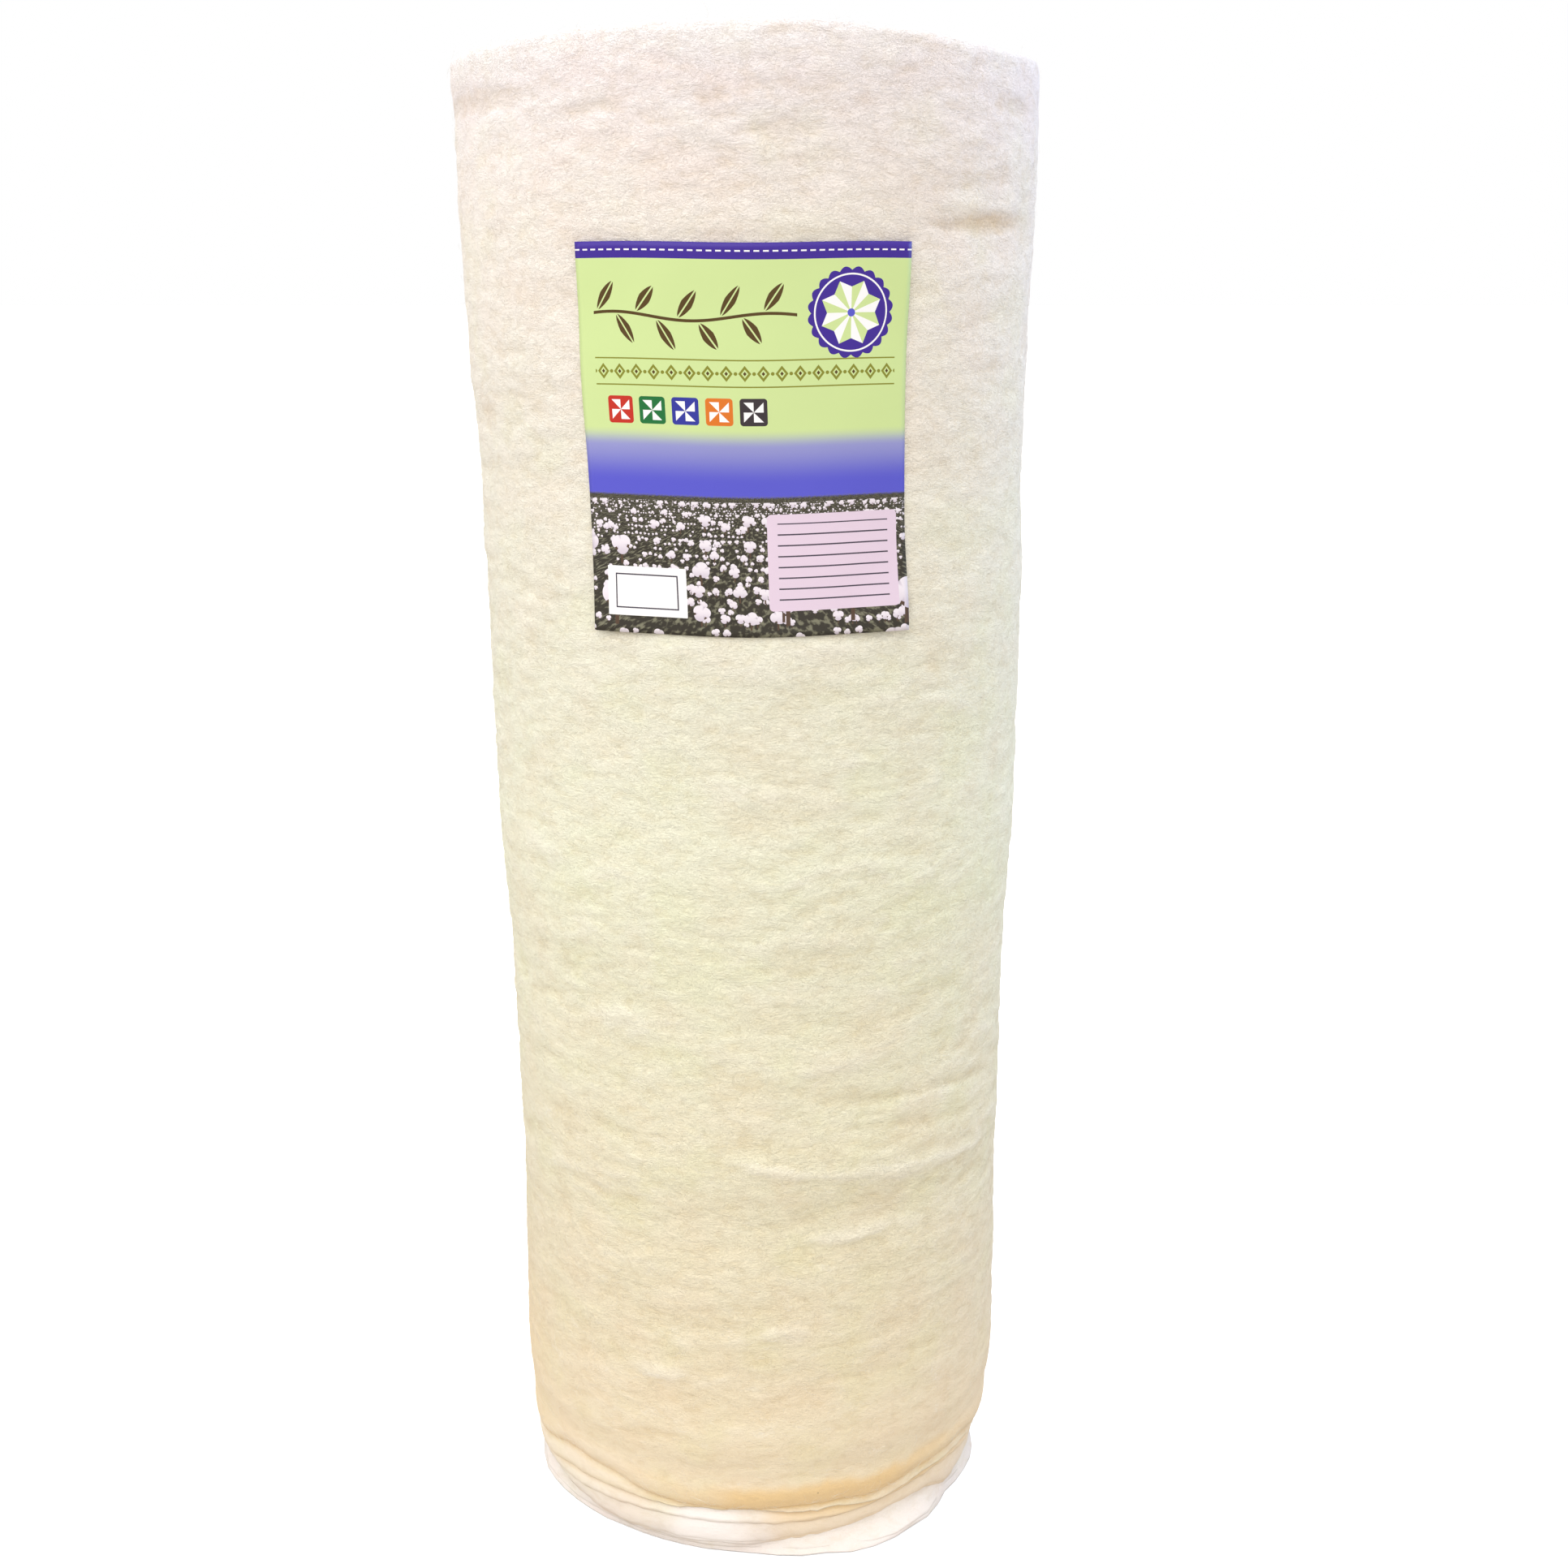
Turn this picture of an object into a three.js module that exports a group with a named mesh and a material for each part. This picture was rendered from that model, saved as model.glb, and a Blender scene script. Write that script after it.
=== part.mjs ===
// Roll of quilt batting: one length of needle-punched cotton, folded double and wound up, standing on its end.
// Millimetres, Z up. The front of the roll faces negative Y, and the origin is under the middle of its foot.
import * as THREE from 'three';

// The batting. It is cut 90 inches wide, and folded along the middle of that width before it is wound.
const foldedWidth = 1143;
const turnThickness = 3.0;

// The winding. Each turn is an oval: a half circle at each side of the flat fold that the winding began with.
const startReach = 26.5;
const lapAngle = 105;
const stationStep = 5;

// The wall between the foot and the fold at the top of the outermost turn
const firstWallHeight = 84;
const wallRowSpacing = 48;
const foldDepth = 11;
const creaseFadeInset = 15;

// The paper label
const labelWidth = 229;
const labelBottom = 762;
const labelTop = 1022;
const labelThickness = 1;
const gap = 0.3;

// Half width of the roll, and how far its axis leans to the side, at heights above the floor
const girthRows = [
  { height: 0, halfWidth: 198.0, lean: 0.5 },
  { height: 100, halfWidth: 200.6, lean: 2.3 },
  { height: 320, halfWidth: 197.2, lean: 2.9 },
  { height: 470, halfWidth: 198.5, lean: 2.1 },
  { height: 600, halfWidth: 204.0, lean: 1.2 },
  { height: 760, halfWidth: 204.6, lean: 0.8 },
  { height: 850, halfWidth: 203.8, lean: -1.2 },
  { height: 960, halfWidth: 206.8, lean: -3.6 },
  { height: 1050, halfWidth: 209.3, lean: -3.4 },
  { height: 1160, halfWidth: 209.9, lean: -4.7 },
];

// Height of the raw edges at the foot and of the fold at the top, by the angle from the front, left side negative.
// The outer edge ends the outermost turn, and the inner edge ends the few turns under it.
const rimRows = [
  { fromFront: -180, outerEdge: 50, innerEdge: 18, foldRise: -5 },
  { fromFront: -110, outerEdge: 46, innerEdge: 12, foldRise: -4 },
  { fromFront: -73, outerEdge: 48, innerEdge: 7, foldRise: 2 },
  { fromFront: -50, outerEdge: 67, innerEdge: 6, foldRise: 5 },
  { fromFront: -26, outerEdge: 49, innerEdge: 7, foldRise: 10 },
  { fromFront: -3, outerEdge: 50, innerEdge: 12, foldRise: 13 },
  { fromFront: 14, outerEdge: 54, innerEdge: 19, foldRise: 13 },
  { fromFront: 31, outerEdge: 54, innerEdge: 23, foldRise: 10 },
  { fromFront: 46, outerEdge: 67, innerEdge: 31, foldRise: 5 },
  { fromFront: 75, outerEdge: 54, innerEdge: 32, foldRise: 0 },
  { fromFront: 125, outerEdge: 45, innerEdge: 24, foldRise: -4 },
  { fromFront: 180, outerEdge: 50, innerEdge: 18, foldRise: -5 },
];

// The outline below the wall: its inset from the outermost face, and its height over the floor or a raw edge
const footRows = [
  { inset: 15, from: 'floor', above: 0 },
  { inset: 11, from: 'floor', above: 1.2 },
  { inset: 9.4, from: 'floor', above: 4 },
  { inset: 9, from: 'innerEdge', above: -1 },
  { inset: 5, from: 'innerEdge', above: 0 },
  { inset: 4.2, from: 'innerEdge', above: 3 },
  { inset: 3.8, from: 'outerEdge', above: -1 },
  { inset: 1.2, from: 'outerEdge', above: 0 },
  { inset: 0, from: 'outerEdge', above: 3 },
];

// The outline above the wall: its drop below the fold, as a share of the fold's depth, and how much of the
// fold's unevenness it still has
const topRows = [
  { inset: 0.7, drop: 0.8, uneven: 1 },
  { inset: 3, drop: 0.32, uneven: 1 },
  { inset: 7, drop: 0.06, uneven: 1 },
  { inset: 12, drop: 0, uneven: 1 },
  { inset: 40, drop: 0.1, uneven: 0.6 },
  { inset: 100, drop: 0.2, uneven: 0 },
];

// Soft ridges and hollows of the wall, each an oval patch around its middle
const creaseRows = [
  { fromFront: 15, height: 352, halfArc: 45, halfHeight: 26, rise: 2.4 },
  { fromFront: 20, height: 300, halfArc: 50, halfHeight: 24, rise: -2.2 },
  { fromFront: -40, height: 520, halfArc: 30, halfHeight: 40, rise: 1.8 },
  { fromFront: 60, height: 1036, halfArc: 26, halfHeight: 22, rise: -3.0 },
  { fromFront: -62, height: 1100, halfArc: 26, halfHeight: 24, rise: -2.0 },
  { fromFront: 0, height: 116, halfArc: 60, halfHeight: 30, rise: 2.0 },
  { fromFront: 150, height: 640, halfArc: 34, halfHeight: 70, rise: -3.0 },
  { fromFront: -130, height: 380, halfArc: 30, halfHeight: 60, rise: 2.6 },
];

// Reads one column of a table, eased between the two rows on each side of the given place
function lookUp(rows, key, column, place) {
  const next = rows.findIndex((row) => row[key] >= place);
  if (next === -1) {
    return rows[rows.length - 1][column];
  }
  if (next === 0) {
    return rows[0][column];
  }
  const low = rows[next - 1];
  const high = rows[next];
  const share = THREE.MathUtils.smoothstep(place, low[key], high[key]);
  return THREE.MathUtils.lerp(low[column], high[column], share);
}

// Turns an angle counted from positive X into one counted from the front, between -180 and 180
function anglesFromFront(degrees) {
  return THREE.MathUtils.euclideanModulo(degrees + 90 + 180, 360) - 180;
}

// Rise of the wall at a place, summed over the ridges and hollows
function creaseRise(degrees, height) {
  const here = anglesFromFront(degrees);
  let rise = 0;
  for (const crease of creaseRows) {
    const across = anglesFromFront(here - crease.fromFront - 90) / crease.halfArc;
    const along = (height - crease.height) / crease.halfHeight;
    rise += crease.rise * Math.exp(-(across * across) - along * along);
  }
  return rise;
}

// A point at an inset from the outermost face. Turns is how far round the last turn it lies, from 0 to 1.
function pointOnTurn(degrees, height, inset, turns) {
  const halfWidth = lookUp(girthRows, 'height', 'halfWidth', height);
  const lean = lookUp(girthRows, 'height', 'lean', height);
  const fade = Math.max(0, 1 - inset / creaseFadeInset);
  const lift = turnThickness * (turns - 0.5) + creaseRise(degrees, height) * fade - inset;
  const radius = halfWidth - startReach + lift;
  const angle = THREE.MathUtils.degToRad(degrees);
  const x = lean + (radius + startReach) * Math.cos(angle);
  const y = radius * Math.sin(angle);
  return new THREE.Vector3(x, y, height);
}

// Heights of the rows of points up the wall, with one at each end of the label
function wallHeights() {
  const heights = [labelBottom, labelTop];
  const lastWallHeight = foldedWidth - 2 * foldDepth;
  const count = Math.round((lastWallHeight - firstWallHeight) / wallRowSpacing);
  for (let row = 0; row <= count; row += 1) {
    const height = firstWallHeight + ((lastWallHeight - firstWallHeight) * row) / count;
    const toLabelEnd = Math.min(Math.abs(height - labelBottom), Math.abs(height - labelTop));
    if (toLabelEnd > wallRowSpacing / 6) {
      heights.push(height);
    }
  }
  return heights.sort((one, other) => one - other);
}

// The roll's outline on one side of its axis, from the rim of the foot's flat face up to the middle of its top
function rollProfile(degrees) {
  const fromFront = anglesFromFront(degrees);
  const edges = {
    floor: 0,
    innerEdge: lookUp(rimRows, 'fromFront', 'innerEdge', fromFront),
    outerEdge: lookUp(rimRows, 'fromFront', 'outerEdge', fromFront),
  };
  const foldRise = lookUp(rimRows, 'fromFront', 'foldRise', fromFront);
  const foot = footRows.map(({ inset, from, above }) => ({ inset, height: edges[from] + above }));
  const wall = wallHeights().map((height) => ({ inset: 0, height }));
  const top = topRows.map(({ inset, drop, uneven }) => ({
    inset,
    height: foldedWidth + foldRise * uneven - foldDepth * drop,
  }));
  return [...foot, ...wall, ...top];
}

// Triangles of the bands between closed rings of points, each ring above the one before it
function bands(rings) {
  const triangles = [];
  for (let row = 0; row < rings.length - 1; row += 1) {
    const low = rings[row];
    const high = rings[row + 1];
    for (let point = 0; point < low.length; point += 1) {
      const next = (point + 1) % low.length;
      triangles.push([low[point], low[next], high[next]]);
      triangles.push([low[point], high[next], high[point]]);
    }
  }
  return triangles;
}

// Triangles of a flat fan from a ring of points to its middle, facing up
function fan(ring, middle) {
  return ring.map((point, index) => [middle, point, ring[(index + 1) % ring.length]]);
}

// The same triangles, facing the other way
function turned(triangles) {
  return triangles.map(([a, b, c]) => [a, c, b]);
}

// Makes a named mesh of one body from its triangles
function bodyMesh(name, triangles, material) {
  const positions = triangles.flat().flatMap((point) => point.toArray());
  const geometry = new THREE.BufferGeometry();
  geometry.setAttribute('position', new THREE.Float32BufferAttribute(positions, 3));
  geometry.computeVertexNormals();
  const mesh = new THREE.Mesh(geometry, material);
  mesh.name = name;
  return mesh;
}

// The wound batting as one body, from the free end of the last turn all the way round to that end again
function makeRoll() {
  const stations = 360 / stationStep;
  const rings = rollProfile(lapAngle).map(() => []);
  for (let station = 0; station <= stations; station += 1) {
    const degrees = lapAngle + station * stationStep;
    rollProfile(degrees).forEach(({ inset, height }, row) => {
      rings[row].push(pointOnTurn(degrees, height, inset, station / stations));
    });
  }
  const footMiddle = new THREE.Vector3(0, 0, 0);
  const topMiddle = new THREE.Vector3(0, 0, foldedWidth - foldDepth * 0.3);
  const triangles = [
    ...turned(fan(rings[0], footMiddle)),
    ...bands(rings),
    ...fan(rings[rings.length - 1], topMiddle),
  ];
  const cotton = new THREE.MeshStandardMaterial({ color: 0xf0e6cf, roughness: 0.95, metalness: 0 });
  return bodyMesh('batting_roll', triangles, cotton);
}

// Angles of the label's points, on the same stations as the roll under it, from its left edge to its right edge
function labelAngles() {
  const frontRadius = lookUp(girthRows, 'height', 'halfWidth', (labelBottom + labelTop) / 2);
  const halfArc = THREE.MathUtils.radToDeg(labelWidth / 2 / frontRadius);
  const angles = [-halfArc];
  const steps = Math.floor(halfArc / stationStep);
  for (let step = -steps; step <= steps; step += 1) {
    angles.push(step * stationStep);
  }
  angles.push(halfArc);
  return angles.map((fromFront) => fromFront - 90);
}

// Triangles that close the end of a sheet, between the first half of its ring and the second half behind it
function sheetEnd(ring) {
  const triangles = [];
  for (let point = 0; point < ring.length / 2 - 1; point += 1) {
    const behind = ring.length - 1 - point;
    triangles.push([ring[point], ring[point + 1], ring[behind - 1]]);
    triangles.push([ring[point], ring[behind - 1], ring[behind]]);
  }
  return triangles;
}

// The label: a paper sheet bent round the front of the roll
function makeLabel() {
  const face = (inset, height) =>
    labelAngles().map((degrees) => {
      const turns = THREE.MathUtils.euclideanModulo(degrees - lapAngle, 360) / 360;
      return pointOnTurn(degrees, height, inset, turns);
    });
  const heights = wallHeights().filter((height) => height >= labelBottom && height <= labelTop);
  const rings = heights.map((height) => [
    ...face(-gap - labelThickness, height),
    ...face(-gap, height).reverse(),
  ]);
  const triangles = [
    ...turned(sheetEnd(rings[0])),
    ...bands(rings),
    ...sheetEnd(rings[rings.length - 1]),
  ];
  const paper = new THREE.MeshStandardMaterial({ color: 0x8fae4a, roughness: 0.55, metalness: 0 });
  return bodyMesh('label', triangles, paper);
}

const group = new THREE.Group();
group.add(makeRoll());
group.add(makeLabel());

// Stands the group on the floor, with the middle of its box over the origin
const box = new THREE.Box3().setFromObject(group);
const middle = box.getCenter(new THREE.Vector3());
group.position.set(-middle.x, -middle.y, -box.min.z);

export default group;
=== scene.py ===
"""A roll of quilt batting, standing on its end. Metres, Z up, and the front of the roll faces negative Y."""

import math
from collections import namedtuple
from functools import partialmethod

import bmesh
import bpy
import numpy as np
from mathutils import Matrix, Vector, noise


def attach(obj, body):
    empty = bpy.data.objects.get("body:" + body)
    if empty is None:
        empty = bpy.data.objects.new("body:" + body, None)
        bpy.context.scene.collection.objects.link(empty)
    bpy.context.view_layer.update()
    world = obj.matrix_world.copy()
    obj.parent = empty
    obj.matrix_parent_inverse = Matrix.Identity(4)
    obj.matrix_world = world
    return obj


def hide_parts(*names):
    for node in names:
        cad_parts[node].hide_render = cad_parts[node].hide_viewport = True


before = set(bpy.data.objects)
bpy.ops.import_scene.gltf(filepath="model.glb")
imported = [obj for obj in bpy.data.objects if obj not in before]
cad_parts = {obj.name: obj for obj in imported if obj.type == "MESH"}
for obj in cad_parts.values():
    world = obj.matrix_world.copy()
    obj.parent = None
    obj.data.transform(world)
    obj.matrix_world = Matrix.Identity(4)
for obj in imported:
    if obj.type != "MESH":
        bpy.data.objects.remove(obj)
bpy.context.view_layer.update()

# Outermost turn
# The last turn of one long length of needle-punched cotton, folded double with the fold at the top. It is
# two plies of batting with a free end at the back, and its raw lower edges stop short of the floor.
FOLDED_WIDTH = 1.143
PLY = 0.0015
# What each turn adds to the half width, how many there are, and how far the flat start reaches to each side
TURN = 0.00302
TURNS = 56.7
START_REACH = 0.0265
MEAN_HALF_WIDTH = 0.2015
# The free end, in degrees from the X axis, the middle of the roll, and where its last turn begins
LAP_DEGREES = 105
LAP = math.radians(LAP_DEGREES)
AXIS = (0.00324, -0.00061)
OUTER_START = TURNS - 1.06


def table(columns, *rows):
    """Rows with named columns."""
    kind = namedtuple("Row", columns)
    return [kind(*row) for row in rows]


# Half the width of the outline at a height, and how far its middle leans to the right
GIRTH = table(
    "height half_width lean",
    (0.000, 0.1966, 0.0006),
    (0.036, 0.1962, 0.0016),
    (0.074, 0.1968, 0.0022),
    (0.110, 0.1999, 0.0028),
    (0.320, 0.1972, 0.0029),
    (0.470, 0.1985, 0.0021),
    (0.600, 0.2040, 0.0012),
    (0.760, 0.2046, 0.0008),
    (0.850, 0.2038, -0.0012),
    (0.960, 0.2068, -0.0036),
    (1.050, 0.2093, -0.0034),
    (1.160, 0.2099, -0.0047),
)

# Angles are in degrees from the front, left side negative. The near ply ends at the near edge, the far one
# at the far edge, and the turns under them at the middle and inner edges. Tuck is how deep the crevices under
# the edges are, flare how far the inner turns have slumped out at the foot, and gold how strongly the hem is
# tinted golden.
RIM = table(
    "angle near_edge far_edge middle_edge inner_edge fold_rise curl tuck flare gold",
    (-180, 0.050, 0.043, 0.030, 0.018, -0.005, 0.0006, 0.40, 0.000, 0.0),
    (-110, 0.046, 0.034, 0.023, 0.016, -0.004, 0.0006, 0.40, 0.006, 0.0),
    (-73, 0.046, 0.029, 0.021, 0.016, 0.002, 0.0006, 0.40, 0.009, 0.1),
    (-50, 0.063, 0.041, 0.024, 0.010, 0.005, 0.0010, 0.50, 0.006, 0.1),
    (-38, 0.060, 0.044, 0.027, 0.007, 0.008, 0.0012, 0.70, 0.003, 0.1),
    (-26, 0.051, 0.043, 0.030, 0.007, 0.010, 0.0014, 0.80, 0.000, 0.2),
    (-12, 0.047, 0.044, 0.030, 0.008, 0.012, 0.0018, 0.90, 0.005, 0.5),
    (-3, 0.048, 0.045, 0.030, 0.008, 0.013, 0.0024, 0.90, 0.011, 1.0),
    (14, 0.049, 0.042, 0.029, 0.013, 0.013, 0.0028, 0.90, 0.017, 1.0),
    (31, 0.048, 0.040, 0.032, 0.018, 0.010, 0.0028, 0.80, 0.017, 1.0),
    (46, 0.055, 0.047, 0.038, 0.022, 0.005, 0.0028, 0.60, 0.012, 0.6),
    (60, 0.055, 0.048, 0.036, 0.010, 0.002, 0.0030, 0.40, 0.008, 0.3),
    (75, 0.048, 0.043, 0.030, 0.014, 0.000, 0.0030, 0.40, 0.010, 0.2),
    (125, 0.045, 0.040, 0.026, 0.016, -0.004, 0.0018, 0.40, 0.003, 0.0),
    (180, 0.050, 0.043, 0.030, 0.018, -0.005, 0.0006, 0.40, 0.000, 0.0),
)
# How far up the hem curls in, how far down the cloth behind comes out again, and the crevice under an edge
HEM, RETURN = 0.024, 0.014
CREVICE, CREVICE_REACH = 0.0026, 0.0045

# Soft ridges and hollows that the turns under the last one share, each an oval around its middle whose
# strength is its rise in metres
PATCHES = table(
    "angle height half_arc half_height strength",
    (15, 0.352, 45, 0.026, 0.0024),
    (20, 0.300, 50, 0.024, -0.0022),
    (-40, 0.520, 30, 0.040, 0.0018),
    (55, 1.033, 20, 0.020, -0.0042),
    (-62, 1.100, 26, 0.024, -0.0020),
    (0, 0.116, 60, 0.030, 0.0020),
    (150, 0.640, 34, 0.070, -0.0030),
    (-130, 0.380, 30, 0.060, 0.0026),
)

# Creases of the last turn alone, each from one place to another, with its rise and half its width
CREASES = table(
    "start_angle start_height end_angle end_height rise half_width",
    (39, 1.033, 68, 1.035, -0.0040, 0.0045),
    (42, 1.046, 70, 1.047, 0.0020, 0.0065),
    (52, 1.112, 72, 1.109, -0.0022, 0.0060),
    (-84, 1.110, -42, 1.114, -0.0022, 0.0060),
    (-34, 1.103, -16, 1.113, -0.0015, 0.0055),
    (-3, 1.090, 15, 1.088, -0.0008, 0.0060),
    (-5, 0.357, 12, 0.347, 0.0022, 0.0050),
    (12, 0.347, 60, 0.330, 0.0022, 0.0050),
    (14, 0.404, 43, 0.401, -0.0018, 0.0048),
    (43, 0.401, 66, 0.389, -0.0018, 0.0048),
    (19, 0.381, 62, 0.362, -0.0018, 0.0044),
    (21, 0.369, 40, 0.362, -0.0014, 0.0044),
    (5, 0.283, 36, 0.294, 0.0018, 0.0060),
    (-2, 0.214, 14, 0.212, 0.0015, 0.0050),
    (-31, 0.173, -15, 0.171, 0.0016, 0.0060),
    (-38, 0.468, -18, 0.467, 0.0016, 0.0070),
    (-62, 0.464, -44, 0.476, -0.0016, 0.0050),
    (-34, 0.105, -20, 0.115, -0.0014, 0.0055),
    (118, 0.880, 160, 0.890, -0.0022, 0.0060),
    (-170, 0.300, -128, 0.318, -0.0020, 0.0060),
    (-150, 0.560, -112, 0.548, 0.0020, 0.0070),
    (96, 0.250, 140, 0.236, 0.0020, 0.0060),
)
# Tan patches on the face, where the strength is how much
TAN_PATCHES = table(
    "angle height half_arc half_height strength",
    (-86, 0.110, 26, 0.110, 0.52),
    (84, 0.070, 24, 0.060, 0.30),
    (54, 1.034, 12, 0.006, 0.40),
)
DEEPEST_CREASE = 0.0008
# The label's sides, in degrees from the front, and how far from its edges the batting is pressed flat
LABEL_ANGLE = 31.7
LABEL_BOTTOM, LABEL_TOP = 0.762, 1.022
PRESS_INSIDE, PRESS_OUTSIDE, PRESS_ABOVE = 0.5, 3.5, 0.010
PRESS_DEPTH = 0.0002

# Layers of the needled face: the size of a tuft across and up the roll, the octaves and seed of its noise,
# and how far it stands out on the lower and on the upper part of the roll. The flow moves the other layers
# up and down instead, and the bald patches only thin them.
TUFTS = table(
    "name across up octaves seed low_rise high_rise",
    ("flow", 0.110, 0.0900, 1, 31.0, 0.0120, 0.0120),
    ("bald patches", 0.130, 0.0900, 1, 44.0, 0.0000, 0.0000),
    ("lumps", 0.080, 0.0300, 2, 0.0, 0.0009, 0.0006),
    ("ridges", 0.036, 0.0150, 2, 12.4, 0.0005, 0.0006),
    ("long tufts", 0.034, 0.0100, 2, 7.3, 0.0006, 0.0000),
    ("round tufts", 0.018, 0.0095, 2, 27.3, 0.0004, 0.0007),
)
UPPER_PART, LOWER_PART = (0.72, 1.02), (0.06, 0.30)
MEAN_RISE = 0.0010
LEAST_TUFTED, MOST_TUFTED = 0.55, 1.30
LOWEST_LOFT = 0.55

# Waves along the raw edges, the fold and the top of the golden hem: height, length, octaves and seed
Wave = namedtuple("Wave", "rise length octaves seed")
EDGE_WAVES = Wave(0.0018, 0.030, 2, 3.1), Wave(0.0009, 0.007, 1, 5.7)
FOLD_WAVE = Wave(0.0012, 0.050, 2, 9.2)
GOLD_WAVE = Wave(0.0060, 0.022, 3, 8.8)
END_WAVE = Wave(0.0022, 0.030, 2, 4.4)

# The last turn as a grid: columns round it, even rows up its face, and closer rows at its raw edge
COLUMNS, FACE_ROWS = 216, 334
FACE_HEIGHT = 1.09
EDGE_ROWS = (0.0, 0.0008, 0.0020, 0.0038, 0.0062, 0.0090)
EVEN_ROWS_FROM = 0.0120
# Rows of the hidden faces, as shares of the height
HIDDEN_ROWS = table(
    "first last rows",
    (0.00, 0.050, 14),
    (0.10, 0.340, 7),
    (0.42, 0.820, 5),
    (0.87, 0.935, 5),
    (0.97, 1.000, 2),
)
# The fold over the top, from the outer face to the inner one
FOLD = table(
    "inset drop",
    (0.0002, -0.0024),
    (0.0008, -0.0008),
    (PLY, 0.0),
    (0.0022, -0.0008),
    (0.0028, -0.0024),
)
# Turns over which the raw edges rise to their own level from that of the turns under them, and over which
# the face comes out from under its own end
HEM_TURNS = (OUTER_START, TURNS - 0.85)
FACE_TURNS = (TURNS - 1.03, TURNS - 1.0)
# A soft bead a little above the raw edge, and how far the edges of both plies are rounded off
BEAD_RISE, BEAD_HEIGHT, BEAD_HALF_HEIGHT = 0.0009, 0.009, 0.008
NEAR_ROUND, FAR_ROUND = 0.0060, 0.0040
NEAR_DRAWN, FAR_DRAWN = 0.0024, 0.0009
# How far the inner side of each ply draws in toward its edge, and from how far above it
NEAR_TUCKED, NEAR_TUCKED_FROM = 0.0008, 0.008
FAR_TUCKED, FAR_TUCKED_FROM = 0.0012, 0.012
FAR_EDGE_INSET = 0.0025
# The height at which the waves of the edges are read round the roll, and where the free end grows wavy
WAVED_AT = 0.05
END_FROM = 0.985
# The least that the far ply hangs below the near one, how far above its edge the face of each ply begins,
# how far under the fold the face ends and the plies part, and half the gap between them
LEAST_STEP = 0.0010
FACE_FROM, FAR_FACE_FROM = 0.0004, 0.0012
FACE_END, PARTING = 0.0045, 0.0026
PLY_GAP = 0.00006
# How tall the golden part of the hem is, and how soft its upper edge
GOLD_HEIGHT, GOLD_FADE = 0.026, 0.011
# How strong the painted shade along the raw edges is and how far up, and how pale the painted light inside
NEAR_EDGE_SHADE, NEAR_EDGE_SHADE_HEIGHT = 0.5, 0.0035
FAR_EDGE_SHADE, FAR_EDGE_SHADE_HEIGHT = 0.25, 0.005
PAINTED_LIGHT_INSIDE = 0.30
# A point this far below the tufts around it gets the most painted shade, and one this far above them the most
# painted highlight.
HOLLOW_DEPTH = 0.0011
# Loose fibres at the hem and over the fold, as times the number on the face, and where they thin out
HEM_FUZZ, FOLD_FUZZ = 18, 12
HEM_FUZZ_TO, HEM_FUZZ_FROM, FOLD_FUZZ_DEPTH = 0.010, 0.002, 0.006


def column(rows, name):
    """One named column of a table, as an array."""
    return np.array([getattr(row, name) for row in rows], float)


def eased(rows, key, name, place):
    """Reads a column at one place or many, eased between the two rows on each side."""
    places, values = column(rows, key), column(rows, name)
    place = np.clip(place, places[0], places[-1])
    low = np.clip(np.searchsorted(places, place, side="right") - 1, 0, len(places) - 2)
    share = (place - places[low]) / (places[low + 1] - places[low])
    share = share * share * (3 - 2 * share)
    return values[low] + (values[low + 1] - values[low]) * share


def ramp(value, low, high):
    """0 below low, 1 above high, and eased between them. Low may be the larger."""
    share = np.clip((value - low) / (high - low), 0, 1)
    return share * share * (3 - 2 * share)


def from_front(angle):
    """Turns an angle in radians from the X axis into degrees from the front, between -180 and 180."""
    return (np.degrees(angle) + 270) % 360 - 180


def patchwork(patches, angle, height):
    """The sum of a table's oval patches at many places."""
    here = from_front(angle)
    total = np.zeros(np.broadcast(angle, height).shape)
    for patch in patches:
        across = ((here - patch.angle + 180) % 360 - 180) / patch.half_arc
        along = (height - patch.height) / patch.half_height
        total = total + patch.strength * np.exp(-(across**2) - along**2)
    return total


def on_roll(turn, height, inset):
    """The point at an inset from the outer face of a turn, counted in turns from the first one."""
    angle = LAP + 2 * math.pi * (turn - TURNS)
    scale = (eased(GIRTH, "height", "half_width", height) - START_REACH) / (MEAN_HALF_WIDTH - START_REACH)
    lean = eased(GIRTH, "height", "lean", height)
    radius = scale * (MEAN_HALF_WIDTH - START_REACH + TURN * (turn - TURNS + 0.5) - inset)
    radius = radius + patchwork(PATCHES, angle, height)
    across = AXIS[0] + lean + (radius + START_REACH) * np.cos(angle)
    return np.stack(np.broadcast_arrays(across, AXIS[1] + radius * np.sin(angle), height), axis=-1)


def drift(points, size, octaves=1, seed=0.0):
    """Smooth noise from -1 to 1 at an array of points, with features of the given sizes along X, Y and Z."""
    scaled = (np.asarray(points) / np.asarray(size) + seed).reshape(-1, 3)
    values = [noise.fractal(Vector(p), 0.6, 2.1, octaves) for p in scaled]
    return np.array(values).reshape(np.asarray(points).shape[:-1])


def crease_rise(angle, height, wander):
    """How far the creases of the last turn lift its face, each thinner and fainter at both of its ends."""
    here = from_front(angle)
    rise = np.zeros(here.shape)
    for crease in CREASES:
        along = (here - crease.start_angle) / (crease.end_angle - crease.start_angle)
        line = crease.start_height + (crease.end_height - crease.start_height) * np.clip(along, 0, 1)
        ends = ramp(along, -0.25, 0.45) * ramp(along, 1.25, 0.55)
        across = (height - line + 0.006 * wander) / (crease.half_width * (0.45 + 0.65 * ends))
        rise = rise + crease.rise * ends * (1 + 0.8 * wander) * np.exp(-(across**2))
    return rise


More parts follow.
